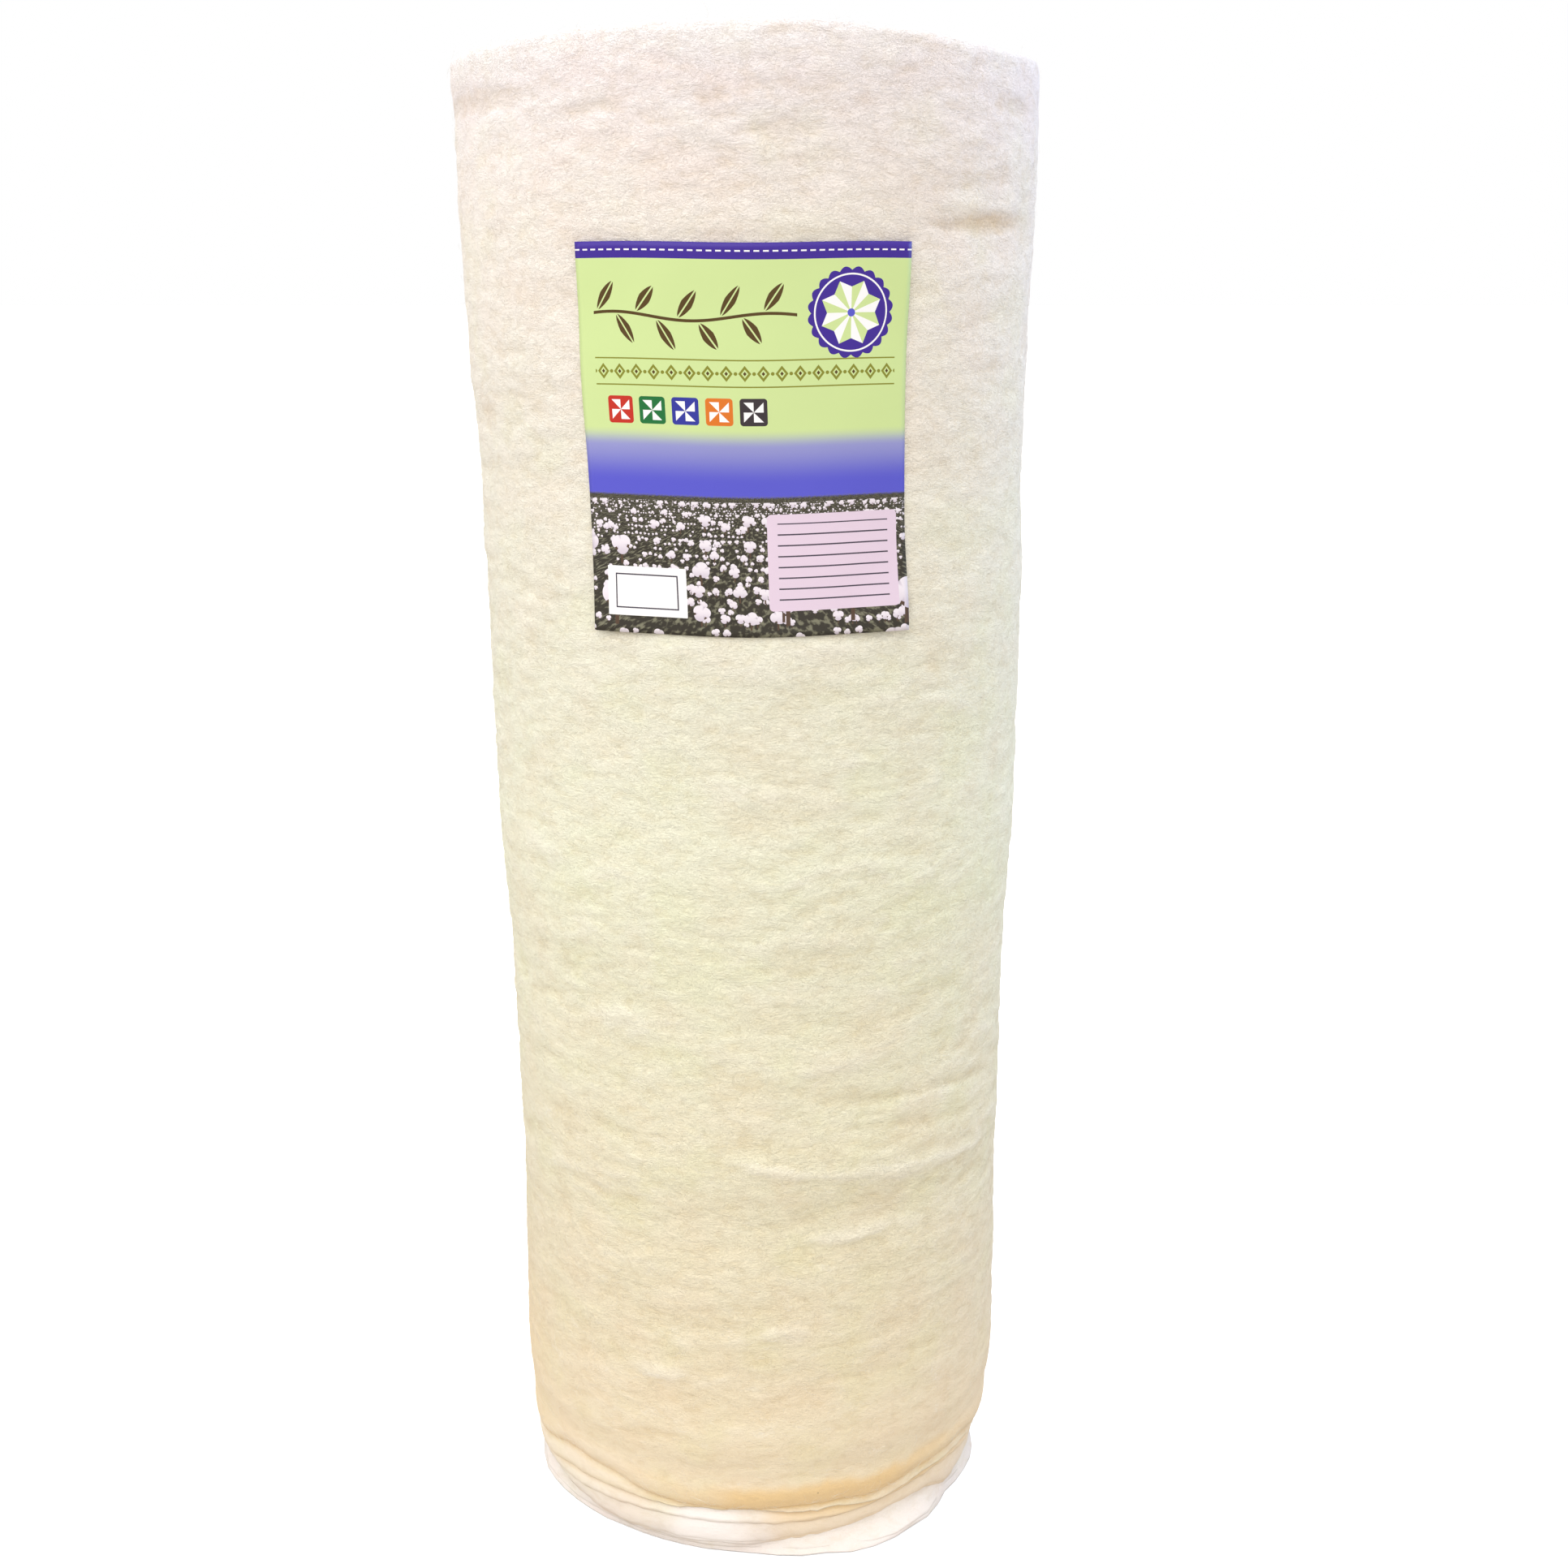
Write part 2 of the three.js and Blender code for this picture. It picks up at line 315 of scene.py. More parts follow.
def label_press(angle, height):
    """1 where the label presses the batting flat, fading to 0 around it."""
    here = np.abs(from_front(angle))
    sides = ramp(here, LABEL_ANGLE + PRESS_OUTSIDE, LABEL_ANGLE - PRESS_INSIDE)
    below = ramp(height, LABEL_BOTTOM - PRESS_ABOVE, LABEL_BOTTOM)
    return sides * (below * ramp(height, LABEL_TOP + PRESS_ABOVE, LABEL_TOP))


def tufted(turn, height):
    """How far the tufts, lumps and creases of the needled face stand out from the plain outline."""
    angle = LAP + 2 * math.pi * (turn - TURNS)
    upper = ramp(height, *UPPER_PART)
    place = on_roll(turn, height, 0.0)

    tufts = {tuft.name: tuft for tuft in TUFTS}

    def layer(name):
        tuft = tufts[name]
        return drift(place, (tuft.across, tuft.across, tuft.up), tuft.octaves, tuft.seed)

    def strength(name):
        return tufts[name].low_rise + (tufts[name].high_rise - tufts[name].low_rise) * upper

    place = place + (strength("flow") * layer("flow"))[..., None] * np.array([0, 0, 1])
    patchy = LEAST_TUFTED + (MOST_TUFTED - LEAST_TUFTED) * ramp(layer("bald patches"), -0.35, 0.45)
    lumps, long_tufts = layer("lumps"), layer("long tufts")
    ridges = 0.5 - np.abs(layer("ridges")) * 1.6
    rise = MEAN_RISE + strength("lumps") * lumps
    rise = rise + patchy * (strength("ridges") * ridges + strength("long tufts") * long_tufts)
    rise = rise + patchy * strength("round tufts") * layer("round tufts")
    rise = rise * (LOWEST_LOFT + (1 - LOWEST_LOFT) * ramp(height, *LOWER_PART))
    rise = np.maximum(rise + crease_rise(angle, height, 0.6 * lumps + 0.4 * long_tufts), -DEEPEST_CREASE)
    flat = label_press(angle, height)
    return rise * (1 - flat) - PRESS_DEPTH * flat


def waved(ring, wave):
    """One wave of a table at the points of a ring."""
    return wave.rise * drift(ring, (wave.length, wave.length, 1.0), wave.octaves, wave.seed)


def rounded_off(above, radius):
    """How far an edge draws back as it is rounded off, from 1 at the edge to 0 at the radius above it."""
    return 1 - np.sqrt(1 - np.clip(1 - above / radius, 0, 1) ** 2)


def outer_turn_points():
    """The folded turn as rows of points round its section, with its outer face fine and the rest coarse."""
    share = np.linspace(0, 1, COLUMNS + 1)
    turn = OUTER_START + (TURNS - OUTER_START) * share
    here = from_front(LAP + 2 * math.pi * (turn - TURNS))
    start, bare = ramp(turn, *HEM_TURNS), ramp(turn, *FACE_TURNS)
    rim = {name: eased(RIM, "angle", name, here) for name in RIM[0]._fields[1:]}
    inner = rim["middle_edge"]
    ring = on_roll(turn, np.full_like(turn, WAVED_AT), 0.0)
    ragged = sum(waved(ring, wave) for wave in EDGE_WAVES)
    near = inner + (rim["near_edge"] - inner) * start + ragged
    far = np.minimum(inner + (rim["far_edge"] - inner) * start + ragged[::-1], near - LEAST_STEP)
    fold = FOLDED_WIDTH + rim["fold_rise"] + waved(ring, FOLD_WAVE)
    curl, tuck = rim["curl"] * start, rim["tuck"] * start

    def push(height, edge):
        """How far a hidden face is pushed in behind the curled hem and into the crevice under an edge."""
        come_out = 0.3 + 0.7 * ramp(height, near - RETURN, near)
        groove = CREVICE * np.exp(-(((height - edge) / CREVICE_REACH) ** 2)) * tuck
        return curl * ramp(height, near + HEM, near) * come_out + groove

    # The outer face
    bottom, top = near + FACE_FROM, fold - FACE_END
    even_rows = np.linspace(EVEN_ROWS_FROM / FACE_HEIGHT, 1, FACE_ROWS + 1)
    face = bottom + (top - bottom) * np.concatenate([np.array(EDGE_ROWS) / FACE_HEIGHT, even_rows])[:, None]
    above = face - near
    bead = BEAD_RISE * np.exp(-(((above - BEAD_HEIGHT) / BEAD_HALF_HEIGHT) ** 2)) * start
    raised = tufted(turn[None, :], face) * bare * ramp(above, 0.0, EVEN_ROWS_FROM) + bead
    curled = curl * (ramp(above, HEM, 0) + 0.25 * np.sin(np.clip(above / HEM, 0, 1) * math.pi))
    rows = [(curled * ramp(above, HEM, 0) + NEAR_DRAWN * rounded_off(above, NEAR_ROUND) - raised, face)]
    # The fold, the inner face of the far ply, and the faces between the two plies
    for bend in FOLD:
        rows.append((bend.inset - raised[-1:] * 0.5, (fold + bend.drop)[None, :]))
    coarse = np.concatenate([np.linspace(*stretch) for stretch in HIDDEN_ROWS])[:, None]
    low = far + FAR_FACE_FROM
    down = low + (top - low) * coarse[::-1]
    tucked = FAR_TUCKED * start * ramp(down, far + FAR_TUCKED_FROM, far)
    rows.append((2 * PLY + push(down, far) + tucked, down))
    rows.append((FAR_EDGE_INSET + push(far, near)[None, :], far[None, :]))
    rise = low + (top - low) * coarse
    far_drawn = FAR_DRAWN * rounded_off(rise - far, FAR_ROUND)
    rows.append((PLY + PLY_GAP + push(rise, near) + far_drawn, rise))
    rows.append((np.full((1, COLUMNS + 1), PLY), (fold - PARTING)[None, :]))
    down = bottom + (top - bottom) * coarse[::-1]
    tucked = curl * ramp(down, near + HEM, near) + NEAR_TUCKED * ramp(down, near + NEAR_TUCKED_FROM, near)
    rows.append((PLY - PLY_GAP + tucked, down))
    rows = [np.broadcast_arrays(inset, height) for inset, height in rows]
    inset = np.concatenate([part[0] for part in rows])
    height = np.concatenate([part[1] for part in rows])
    upright = np.stack(np.broadcast_arrays(0.0, 0.0, height), axis=-1)
    end = END_WAVE.rise * ramp(share, END_FROM, 1.0)
    end = end * drift(upright, (1, 1, END_WAVE.length), END_WAVE.octaves, END_WAVE.seed)

    # What the material and the fibres need: painted shade in hollows and highlight on tufts, a tint with
    # painted shading that goes to paler painted light below 0, and fuzz
    around = [(i, j) for i in (-7, -4, 0, 4, 7) for j in (-4, -2, 0, 2, 4)]
    nearby = sum(np.roll(np.roll(raised, i, 0), j, 1) for i, j in around) / len(around)
    angle = np.radians(here - 90)
    # Painted shade in hollows between tufts, and painted highlight where a tuft stands above the ones around
    # it
    painted_relief_shading = np.clip((nearby - raised) / HOLLOW_DEPTH, -1, 1) * (1 - label_press(angle, face))
    painted_relief_shading = np.concatenate([painted_relief_shading, np.zeros((len(inset) - len(painted_relief_shading), COLUMNS + 1))])
    above = height - near
    hidden = np.arange(len(inset))[:, None] > len(face)
    # A golden band up the hem
    gold_top = GOLD_HEIGHT + waved(ring, GOLD_WAVE)
    tint_and_painted_shading = rim["gold"] * ramp(above, gold_top, gold_top - GOLD_FADE) * ramp(above, -0.004, 0)
    # Painted shade along the near and the far raw edge
    tint_and_painted_shading = tint_and_painted_shading + NEAR_EDGE_SHADE * np.exp(-((above / NEAR_EDGE_SHADE_HEIGHT) ** 2))
    tint_and_painted_shading = tint_and_painted_shading + FAR_EDGE_SHADE * ramp(height, far + FAR_EDGE_SHADE_HEIGHT, far)
    # Tan patches on the face
    tint_and_painted_shading = tint_and_painted_shading + patchwork(TAN_PATCHES, angle, height) * (1 - hidden)
    # Paler painted light, below 0, on the hidden cloth under the near edge
    tint_and_painted_shading = tint_and_painted_shading * start - PAINTED_LIGHT_INSIDE * hidden * ramp(above, -0.001, -0.005)
    fuzz = 1 + HEM_FUZZ * ramp(above, HEM_FUZZ_TO, HEM_FUZZ_FROM)
    fuzz = fuzz + FOLD_FUZZ * ramp(height, fold - FOLD_FUZZ_DEPTH, fold)
    fuzz = fuzz * (1 - hidden) * (1 - label_press(angle, height)) * bare
    return on_roll(turn[None, :] + end, height, inset), {"painted_relief_shading": painted_relief_shading, "tint_and_painted_shading": tint_and_painted_shading, "fuzz": fuzz}


def turned_outward(mesh):
    """Cuts faces of many sides into triangles and turns every face outward."""
    work = bmesh.new()
    work.from_mesh(mesh)
    wide = [face for face in work.faces if len(face.verts) > 4]
    bmesh.ops.triangulate(work, faces=wide, ngon_method="EAR_CLIP")
    bmesh.ops.recalc_face_normals(work, faces=work.faces)
    work.to_mesh(mesh)
    work.free()


def closed_skin(name, points):
    """A mesh from rows by columns of points, whose rows join round into a tube with a face at each end."""
    row_count, column_count = points.shape[:2]
    index = np.arange(row_count * column_count).reshape(row_count, column_count)
    following = np.roll(index, -1, axis=0)
    corners = [index[:, :-1], index[:, 1:], following[:, 1:], following[:, :-1]]
    quads = np.stack(corners, axis=-1).reshape(-1, 4)
    ends = [index[:, 0].tolist(), index[::-1, -1].tolist()]
    mesh = bpy.data.meshes.new(name)
    mesh.from_pydata(points.reshape(-1, 3).tolist(), [], quads.tolist() + ends)
    turned_outward(mesh)
    mesh.shade_smooth()
    return mesh


def add(tree, kind, inputs=None, **settings):
    """Adds a node with its settings, and gives each of its inputs a value or a link."""
    node = tree.nodes.new(kind)
    for name, value in settings.items():
        setattr(node, name, value)
    for place, value in (inputs or {}).items():
        if isinstance(value, Field):
            value = value.socket
        if isinstance(value, bpy.types.NodeSocket):
            tree.links.new(value, node.inputs[place])
        else:
            node.inputs[place].default_value = value
    return node


class Field:
    """A number that changes over a piece, so that a rule in a node tree is written as a sum."""

    def __init__(self, tree, socket):
        self.tree = tree
        self.socket = socket

    def math(self, operation, *others):
        values = dict(enumerate((self, *others)))
        return Field(self.tree, add(self.tree, "ShaderNodeMath", values, operation=operation).outputs[0])

    def __rsub__(self, other):
        return self * -1 + other

    def __rtruediv__(self, other):
        return self.math("POWER", -1) * other

    def between(self, low, high):
        """0 at low, 1 at high, eased between them and steady past them."""
        inputs = {"Value": self, "From Min": low, "From Max": high}
        settings = {"interpolation_type": "SMOOTHSTEP"}
        return Field(self.tree, add(self.tree, "ShaderNodeMapRange", inputs, **settings).outputs["Result"])

    __add__ = __radd__ = partialmethod(math, "ADD")
    __sub__ = partialmethod(math, "SUBTRACT")
    __mul__ = __rmul__ = partialmethod(math, "MULTIPLY")
    __truediv__ = partialmethod(math, "DIVIDE")
    __lt__ = partialmethod(math, "LESS_THAN")
    __gt__ = partialmethod(math, "GREATER_THAN")
    __abs__ = partialmethod(math, "ABSOLUTE")


def mixed(tree, share, first, second, blend="MIX"):
    """A colour between two others, each a socket or a plain colour."""
    inputs = {0: share, 6: first, 7: second}
    return add(tree, "ShaderNodeMix", inputs, data_type="RGBA", blend_type=blend).outputs[2]


def cloud(tree, place, scale, detail, **more):
    """Smooth noise from 0 to 1 at a place."""
    inputs = {"Vector": place, "Scale": scale, "Detail": detail, **more}
    return Field(tree, add(tree, "ShaderNodeTexNoise", inputs).outputs["Fac"])


def vector(tree, x, y, z=0.0):
    """One vector from three numbers or fields."""
    return add(tree, "ShaderNodeCombineXYZ", {"X": x, "Y": y, "Z": z}).outputs[0]


def painted(name, values):
    """A new material with its tree and its shader, whose named inputs get their values."""
    material = bpy.data.materials.new(name)
    material.use_nodes = True
    shader = material.node_tree.nodes["Principled BSDF"]
    for label, value in values.items():
        shader.inputs[label].default_value = value
    return material, material.node_tree, shader


def placed(name, data):
    """A new object in the scene, at the origin."""
    thing = bpy.data.objects.new(name, data)
    bpy.context.collection.objects.link(thing)
    return thing


def needled_cotton():
    """The effect that every cotton surface shares: cloudy tufts, fine strands and a few flecks of seed."""
    group = bpy.data.node_groups.new("needled cotton", "ShaderNodeTree")
    for name, value in (("Tuft Size", 0.024), ("Flatness", 1.8), ("Fleck Share", 0.10)):
        group.interface.new_socket(name, in_out="INPUT", socket_type="NodeSocketFloat").default_value = value
    for name in ("Tufts", "Wisps", "Flecks", "Height"):
        group.interface.new_socket(name, in_out="OUTPUT", socket_type="NodeSocketFloat")
    given = group.nodes.new("NodeGroupInput").outputs
    size, flatness, fleck_share = (Field(group, given[place]) for place in range(3))
    place = group.nodes.new("ShaderNodeTexCoord").outputs["Object"]

    def moved(operation, *inputs, **more):
        inputs = {**dict(enumerate(inputs)), **more}
        return add(group, "ShaderNodeVectorMath", inputs, operation=operation).outputs[0]

    squeezed = moved("MULTIPLY", place, vector(group, 1.0, 1.0, flatness))
    swirl = add(group, "ShaderNodeTexNoise", {"Vector": squeezed, "Scale": 0.45 / size, "Detail": 2.0})
    pushed = moved("SUBTRACT", swirl.outputs["Color"], (0.5, 0.5, 0.5))
    swirled = moved("ADD", squeezed, moved("SCALE", pushed, Scale=size * 1.1))

    def web(scale, detail, **more):
        return cloud(group, swirled, scale / size, detail, Roughness=0.6, **more)

    tufts, fuzz = web(scale=1.0, detail=4.0), web(scale=6.0, detail=3.0)
    strands = 1 - (abs(web(scale=3.2, detail=2.0, Distortion=1.6) - 0.5) * 2).between(0.0, 0.12)
    wisps = web(scale=0.55, detail=5.0).between(0.56, 0.74) * fuzz.between(0.35, 0.65)
    cells = add(group, "ShaderNodeTexVoronoi", {"Vector": place, "Scale": 38.0})
    chance = Field(group, add(group, "ShaderNodeSeparateColor", {0: cells.outputs["Color"]}).outputs[0])
    fleck = Field(group, cells.outputs["Distance"]) + fuzz * 0.05 < 0.052
    height = tufts * 0.60 + fuzz * 0.34 + strands * 0.06
    results = {"Tufts": tufts, "Wisps": wisps, "Flecks": fleck * (chance < fleck_share), "Height": height}
    add(group, "NodeGroupOutput", results)
    return group


def natural_cotton(name, bump, fleck_share, stops):
    """Ivory cotton with painted shading, whose tint changes with the height by stops of share of the height
    and colour.
    """
    values = {"Roughness": 0.95, "Specular IOR Level": 0.15, "Sheen Weight": 0.25, "Sheen Roughness": 0.6}
    material, tree, shader = painted(name, values)
    web = tree.nodes.new("ShaderNodeGroup")
    web.node_tree = NEEDLED_COTTON
    web.inputs["Tuft Size"].default_value = TUFT_SIZE
    web.inputs["Fleck Share"].default_value = fleck_share
    tufts, wisps, flecks, loft = (Field(tree, socket) for socket in web.outputs)
    place = tree.nodes.new("ShaderNodeTexCoord").outputs["Object"]
    height = Field(tree, add(tree, "ShaderNodeSeparateXYZ", {0: place}).outputs["Z"])
    tint = add(tree, "ShaderNodeValToRGB", {0: height / ROLL_HEIGHT})
    while len(tint.color_ramp.elements) < len(stops):
        tint.color_ramp.elements.new(0.5)
    for element, (at, colour) in zip(tint.color_ramp.elements, stops):
        element.position = at
        element.color = (*colour, 1)

    def tint_and_shading(name):
        return Field(tree, add(tree, "ShaderNodeAttribute", attribute_name=name).outputs["Fac"])

    lie, tint_and_painted_shading, blush = tint_and_shading("painted_relief_shading"), tint_and_shading("tint_and_painted_shading"), cloud(tree, place, scale=21.0, detail=3.0)
    colour = mixed(tree, blush.between(0.46, 0.70) * 0.8, tint.outputs[0], PINKER, "MULTIPLY")
    colour = mixed(tree, blush.between(0.50, 0.30) * 0.8, colour, GREENER, "MULTIPLY")
    # Painted shade in hollows between tufts, then whiter wisps with painted highlight on raised tufts
    painted_relief_shading = lie.between(-0.2, 1.2) * 0.55 + tufts.between(0.56, 0.30) * 0.45
    colour = mixed(tree, painted_relief_shading, colour, HOLLOW_SHADE, "MULTIPLY")
    colour = mixed(tree, lie.between(0.0, -1.2) * 0.30 + wisps * 0.35, colour, WISP_AND_HIGHLIGHT)
    # Paler painted light below 0, then above 0 a golden tint with painted shade along the raw edges and at
    # the foot
    colour = mixed(tree, (tint_and_painted_shading * -1).between(0, 1), colour, PAINTED_LIGHT)
    colour = mixed(tree, tint_and_painted_shading.math("MAXIMUM", 0).math("MINIMUM", 1), colour, GOLDEN_TINT_AND_SHADE)
    colour = mixed(tree, flecks * 0.6, colour, SEED)
    tree.links.new(colour, shader.inputs["Base Color"])
    lofty = loft * (height.between(0.04, 0.30) * 0.56 + 0.5)
    relief = add(tree, "ShaderNodeBump", {"Strength": bump, "Distance": 0.0021, "Height": lofty})
    tree.links.new(relief.outputs[0], shader.inputs["Normal"])
    return material


ROLL_HEIGHT = 1.16
TUFT_SIZE = 0.012
# Colours that the tint of the cotton is multiplied by, one of them the painted shade of hollows, and colours
# that take its place
PINKER, GREENER, HOLLOW_SHADE = (1.0, 0.965, 0.955, 1), (0.985, 1.0, 0.94, 1), (0.88, 0.83, 0.74, 1)
# A whiter wisp that also serves as painted highlight, paler painted light, and a golden tint that also serves
# as painted shade
WISP_AND_HIGHLIGHT, PAINTED_LIGHT, GOLDEN_TINT_AND_SHADE = (0.93, 0.88, 0.79, 1), (0.97, 0.91, 0.875, 1), (0.84, 0.60, 0.30, 1)
SEED = (0.30, 0.20, 0.11, 1)
NEEDLED_COTTON = needled_cotton()
# Rosy near the top of the roll, faintly green in the middle and a warmer tan near the floor, partly painted
# light.
# The tan near the floor is darker as painted shade, and the last stop is a painted highlight over the fold.
FACE_TINTS_AND_SHADING = [
    (0.00, (0.88, 0.74, 0.53)),
    (0.06, (0.87, 0.74, 0.53)),
    (0.12, (0.81, 0.70, 0.50)),
    (0.27, (0.845, 0.78, 0.575)),
    (0.50, (0.88, 0.87, 0.68)),
    (0.64, (0.865, 0.84, 0.69)),
    (0.80, (0.90, 0.845, 0.75)),
    (0.90, (0.925, 0.852, 0.785)),
    (0.97, (0.93, 0.86, 0.855)),
    (0.995, (0.99, 0.945, 0.945)),
]
outer_points, outer_tones = outer_turn_points()
outer_mesh = closed_skin("outer_turn", outer_points)
for tone, values in outer_tones.items():
    outer_mesh.attributes.new(tone, "FLOAT", "POINT").data.foreach_set("value", values.ravel())
face_cotton = natural_cotton("needled cotton face", bump=1.0, fleck_share=0.16, stops=FACE_TINTS_AND_SHADING)
outer_mesh.materials.append(face_cotton)
outer_turn = placed("outer_turn", outer_mesh)
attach(outer_turn, "root")
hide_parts("batting_roll")


def length_between(first, last):
    """The length of cloth wound between two turns, measured along its middle."""
    turn = np.linspace(first, last, 1 + int(200 * (last - first)))
    path = on_roll(turn, np.full_like(turn, 0.6), PLY)
    return float(np.linalg.norm(np.diff(path, axis=0), axis=1).sum())


# Wound turns
# All of the cloth that lies under the last turn, wound from a flat start at the middle. Each turn shows its
# fold at the top of the roll and its two raw edges at the foot, where the inner turns stand on the floor.

# Rise, fall and hang are how much a level follows the fold, the foot and the edge of the turn outside it.
# The outer ply of the folded cloth is 0 and the inner one 1.
Level = namedtuple("Level", "inset height rise fall hang ply")
HANGING_BELOW = 0.1


def foot(ply, *corners):
    """Levels round the raw edge of a ply, each with its inset, its height and its fall."""
    return [Level(inset, height, 0, fall, 1 - fall, ply) for inset, height, fall in corners]


def wall(ply, inset, *heights):
    """Levels up or down a face, of which only the lowest follow the edge of the turn outside."""
    return [Level(inset, height, 0, 0, int(height < HANGING_BELOW), ply) for height in heights]


def fold(ply, *corners):
    """Levels over a fold, each with its inset and its height."""
    return [Level(inset, height, 1, 0, 0, ply) for inset, height in corners]


# The outline of the cloth, up its outer face, over the fold, down its inner face and back between the plies
SECTION = [
    *foot(0, (0.0010, 0.0002, 0.90), (0.0006, 0.0008, 0.88), (0.0002, 0.0, 0.78), (0.0, 0.0, 0.62)),
    *foot(0, (0.0, 0.0, 0.34), (0.0, 0.0, 0.12), (0.0, 0.0, 0.0)),
    *wall(0, 0.0, 0.004, 0.012, 0.034, 0.16, 0.30, 0.35, 0.52, 0.64, 0.88, 1.005, 1.033, 1.065, 1.10),
    *fold(0, (0.0, 1.1385), (0.0002, 1.1408), (0.0008, 1.1423), (0.0015, 1.1430)),
    *fold(0, (0.0022, 1.1423), (0.0028, 1.1408), (0.0030, 1.1385)),
    *wall(1, 0.0030, 1.10, 1.033, 0.88, 0.64, 0.35, 0.16, 0.034, 0.004),
    *foot(1, (0.0030, 0.0, 0.12), (0.0030, 0.0, 0.34), (0.0030, 0.0, 0.66), (0.0030, 0.0, 0.84)),
    *foot(1, (0.0029, 0.0003, 1.0), (0.0025, 0.0, 1.0), (0.0020, 0.0008, 1.0)),
    *foot(1, (0.0016, 0.0, 0.92), (0.0016, 0.0, 0.66), (0.0016, 0.0, 0.34)),
    *wall(1, 0.0016, 0.004, 0.034, 0.32, 0.88),
    *fold(1, (0.0016, 1.1370)),
    *fold(0, (0.0015, 1.1400), (0.0014, 1.1370)),
    *wall(0, 0.0014, 0.88, 0.32, 0.034, 0.004),
    *foot(0, (0.0014, 0.0, 0.34), (0.0014, 0.0, 0.66), (0.0014, 0.0004, 0.90), (0.0013, 0.0, 0.90)),
]
# Turns over which a change comes in: the shared ridges, the fold's rise, the slump at the foot, the two steps
# of the foot that show, and what the turns behind the last one share with it
RIDGED = (TURNS - 14, TURNS - 2)
CRESTED = (TURNS - 40, TURNS - 4)
SLUMPED = (TURNS - 14, TURNS - 4)
INNER_STEP = (TURNS - 3.17, TURNS - 2.97)
MIDDLE_STEP = (TURNS - 2.17, TURNS - 1.97)
BEHIND = (TURNS - 30, TURNS - 3.1)
# How far the foot of each turn under the last one is tucked in behind the next, and over which turns
STEP_IN, INNER_STEP_IN = 0.0005, 0.0010
BEHIND_MIDDLE, BEHIND_INNER = (TURNS - 2.1, TURNS - 2.3), (TURNS - 3.1, TURNS - 3.3)
INNER_TURNS = (TURNS - 3.2, TURNS - 3.0)
# The extra depth of the crevices in the turns behind, how far these are hollowed and lumpy under the edge of
# the last turn, and how far a fold wanders in and out in all
EXTRA_CREVICE, UNDERCUT, LUMPY, FOLD_WANDER = 0.0010, 0.0016, 0.0040, 0.0022
# Where the beige painted shade and the white painted light of the foot come in and go out round the roll,
# from 0 to 1 with the front at 0.5
BEIGE_SHADE_FROM, BEIGE_SHADE_TO = (0.465, 0.515), (0.82, 0.72)
WHITE_LIGHT_FROM, WHITE_LIGHT_TO = (0.42, 0.46), (0.530, 0.475)
# Twice the largest size, up or down, that a node tree can read in each column of the rim table
REACH = dict.fromkeys(("near_edge", "far_edge", "middle_edge", "inner_edge"), 0.16)
REACH.update(fold_rise=0.06, curl=0.03, tuck=2.4, flare=0.06)
WOUND = table(
    "name first_turn last_turn columns_per_turn",
    ("under_turns", TURNS - 3.06, OUTER_START, 160),
    ("middle_turns", 38.0, TURNS - 3.06, 60),
    ("core_turns", 0.0, 38.0, 32),
)


def section_mesh():
    """The closed outline of the folded cloth, cut across, with what the winding needs kept at each point."""
    mesh = bpy.data.meshes.new("cloth section")
    count = len(SECTION)
    edges = [(i, (i + 1) % count) for i in range(count)]
    mesh.from_pydata([(level.inset, level.height, 0) for level in SECTION], edges, [])
    heights = column(SECTION, "height")
    kept = {name: column(SECTION, name) for name in Level._fields}
    kept["scale"] = eased(GIRTH, "height", "half_width", heights) - START_REACH
    kept["scale"] = kept["scale"] / (MEAN_HALF_WIDTH - START_REACH)
    kept["lean"] = eased(GIRTH, "height", "lean", heights)
    for name, values in kept.items():
        mesh.attributes.new(name, "FLOAT", "POINT").data.foreach_set("value", values)
    return mesh


def group_with(name, inputs):
    """An empty geometry node group with a mesh in and out and named numbers for its sizes."""
    tree = bpy.data.node_groups.new(name, "GeometryNodeTree")
    tree.interface.new_socket("Geometry", in_out="INPUT", socket_type="NodeSocketGeometry")
    tree.interface.new_socket("Geometry", in_out="OUTPUT", socket_type="NodeSocketGeometry")
    for label in inputs:
        tree.interface.new_socket(label, in_out="INPUT", socket_type="NodeSocketFloat")
    given = tree.nodes.new("NodeGroupInput")
    return tree, given.outputs["Geometry"], {label: Field(tree, given.outputs[label]) for label in inputs}


def through(tree, kind, geometry, **inputs):
    """What comes out of a node that changes the geometry it is given."""
    return add(tree, kind, {"Geometry": geometry, **inputs}).outputs[0]


def finished(tree, geometry, material):
    """Ends a node group with plain geometry of one material."""
    geometry = through(tree, "GeometryNodeRealizeInstances", geometry)
    geometry = through(tree, "GeometryNodeSetMaterial", geometry, Material=material)
    add(tree, "NodeGroupOutput", {"Geometry": geometry})
    return tree


def built(name, mesh, tree, values):
    """Runs a node group on a mesh and returns a plain object that holds the result."""
    holder = placed(name, mesh)
    modifier = holder.modifiers.new(tree.name, "NODES")
    modifier.node_group = tree
    for item in tree.interface.items_tree:
        if item.in_out == "INPUT" and item.name in values:
            modifier[item.identifier] = values[item.name]
    graph = bpy.context.evaluated_depsgraph_get()
    result = bpy.data.meshes.new_from_object(holder.evaluated_get(graph))
    holder.modifiers.remove(modifier)
    holder.data = result
    result.name = name
    return holder


def rim_column(tree, share, name):
    """Reads a column of the rim table round the roll, from a share of 0 to 1 with the front at 0.5."""
    reach = REACH[name]
    node = add(tree, "ShaderNodeFloatCurve", {"Factor": 1.0, "Value": share})
    points = node.mapping.curves[0].points
    angles = range(-180, 181, 10)
    while len(points) < len(angles):
        points.new(0.5, 0.5)
    for point, angle in zip(points, angles):
        point.location = ((angle + 180) / 360, 0.5 + float(eased(RIM, "angle", name, angle)) / reach)
    node.mapping.update()
    return (Field(tree, node.outputs[0]) - 0.5) * reach


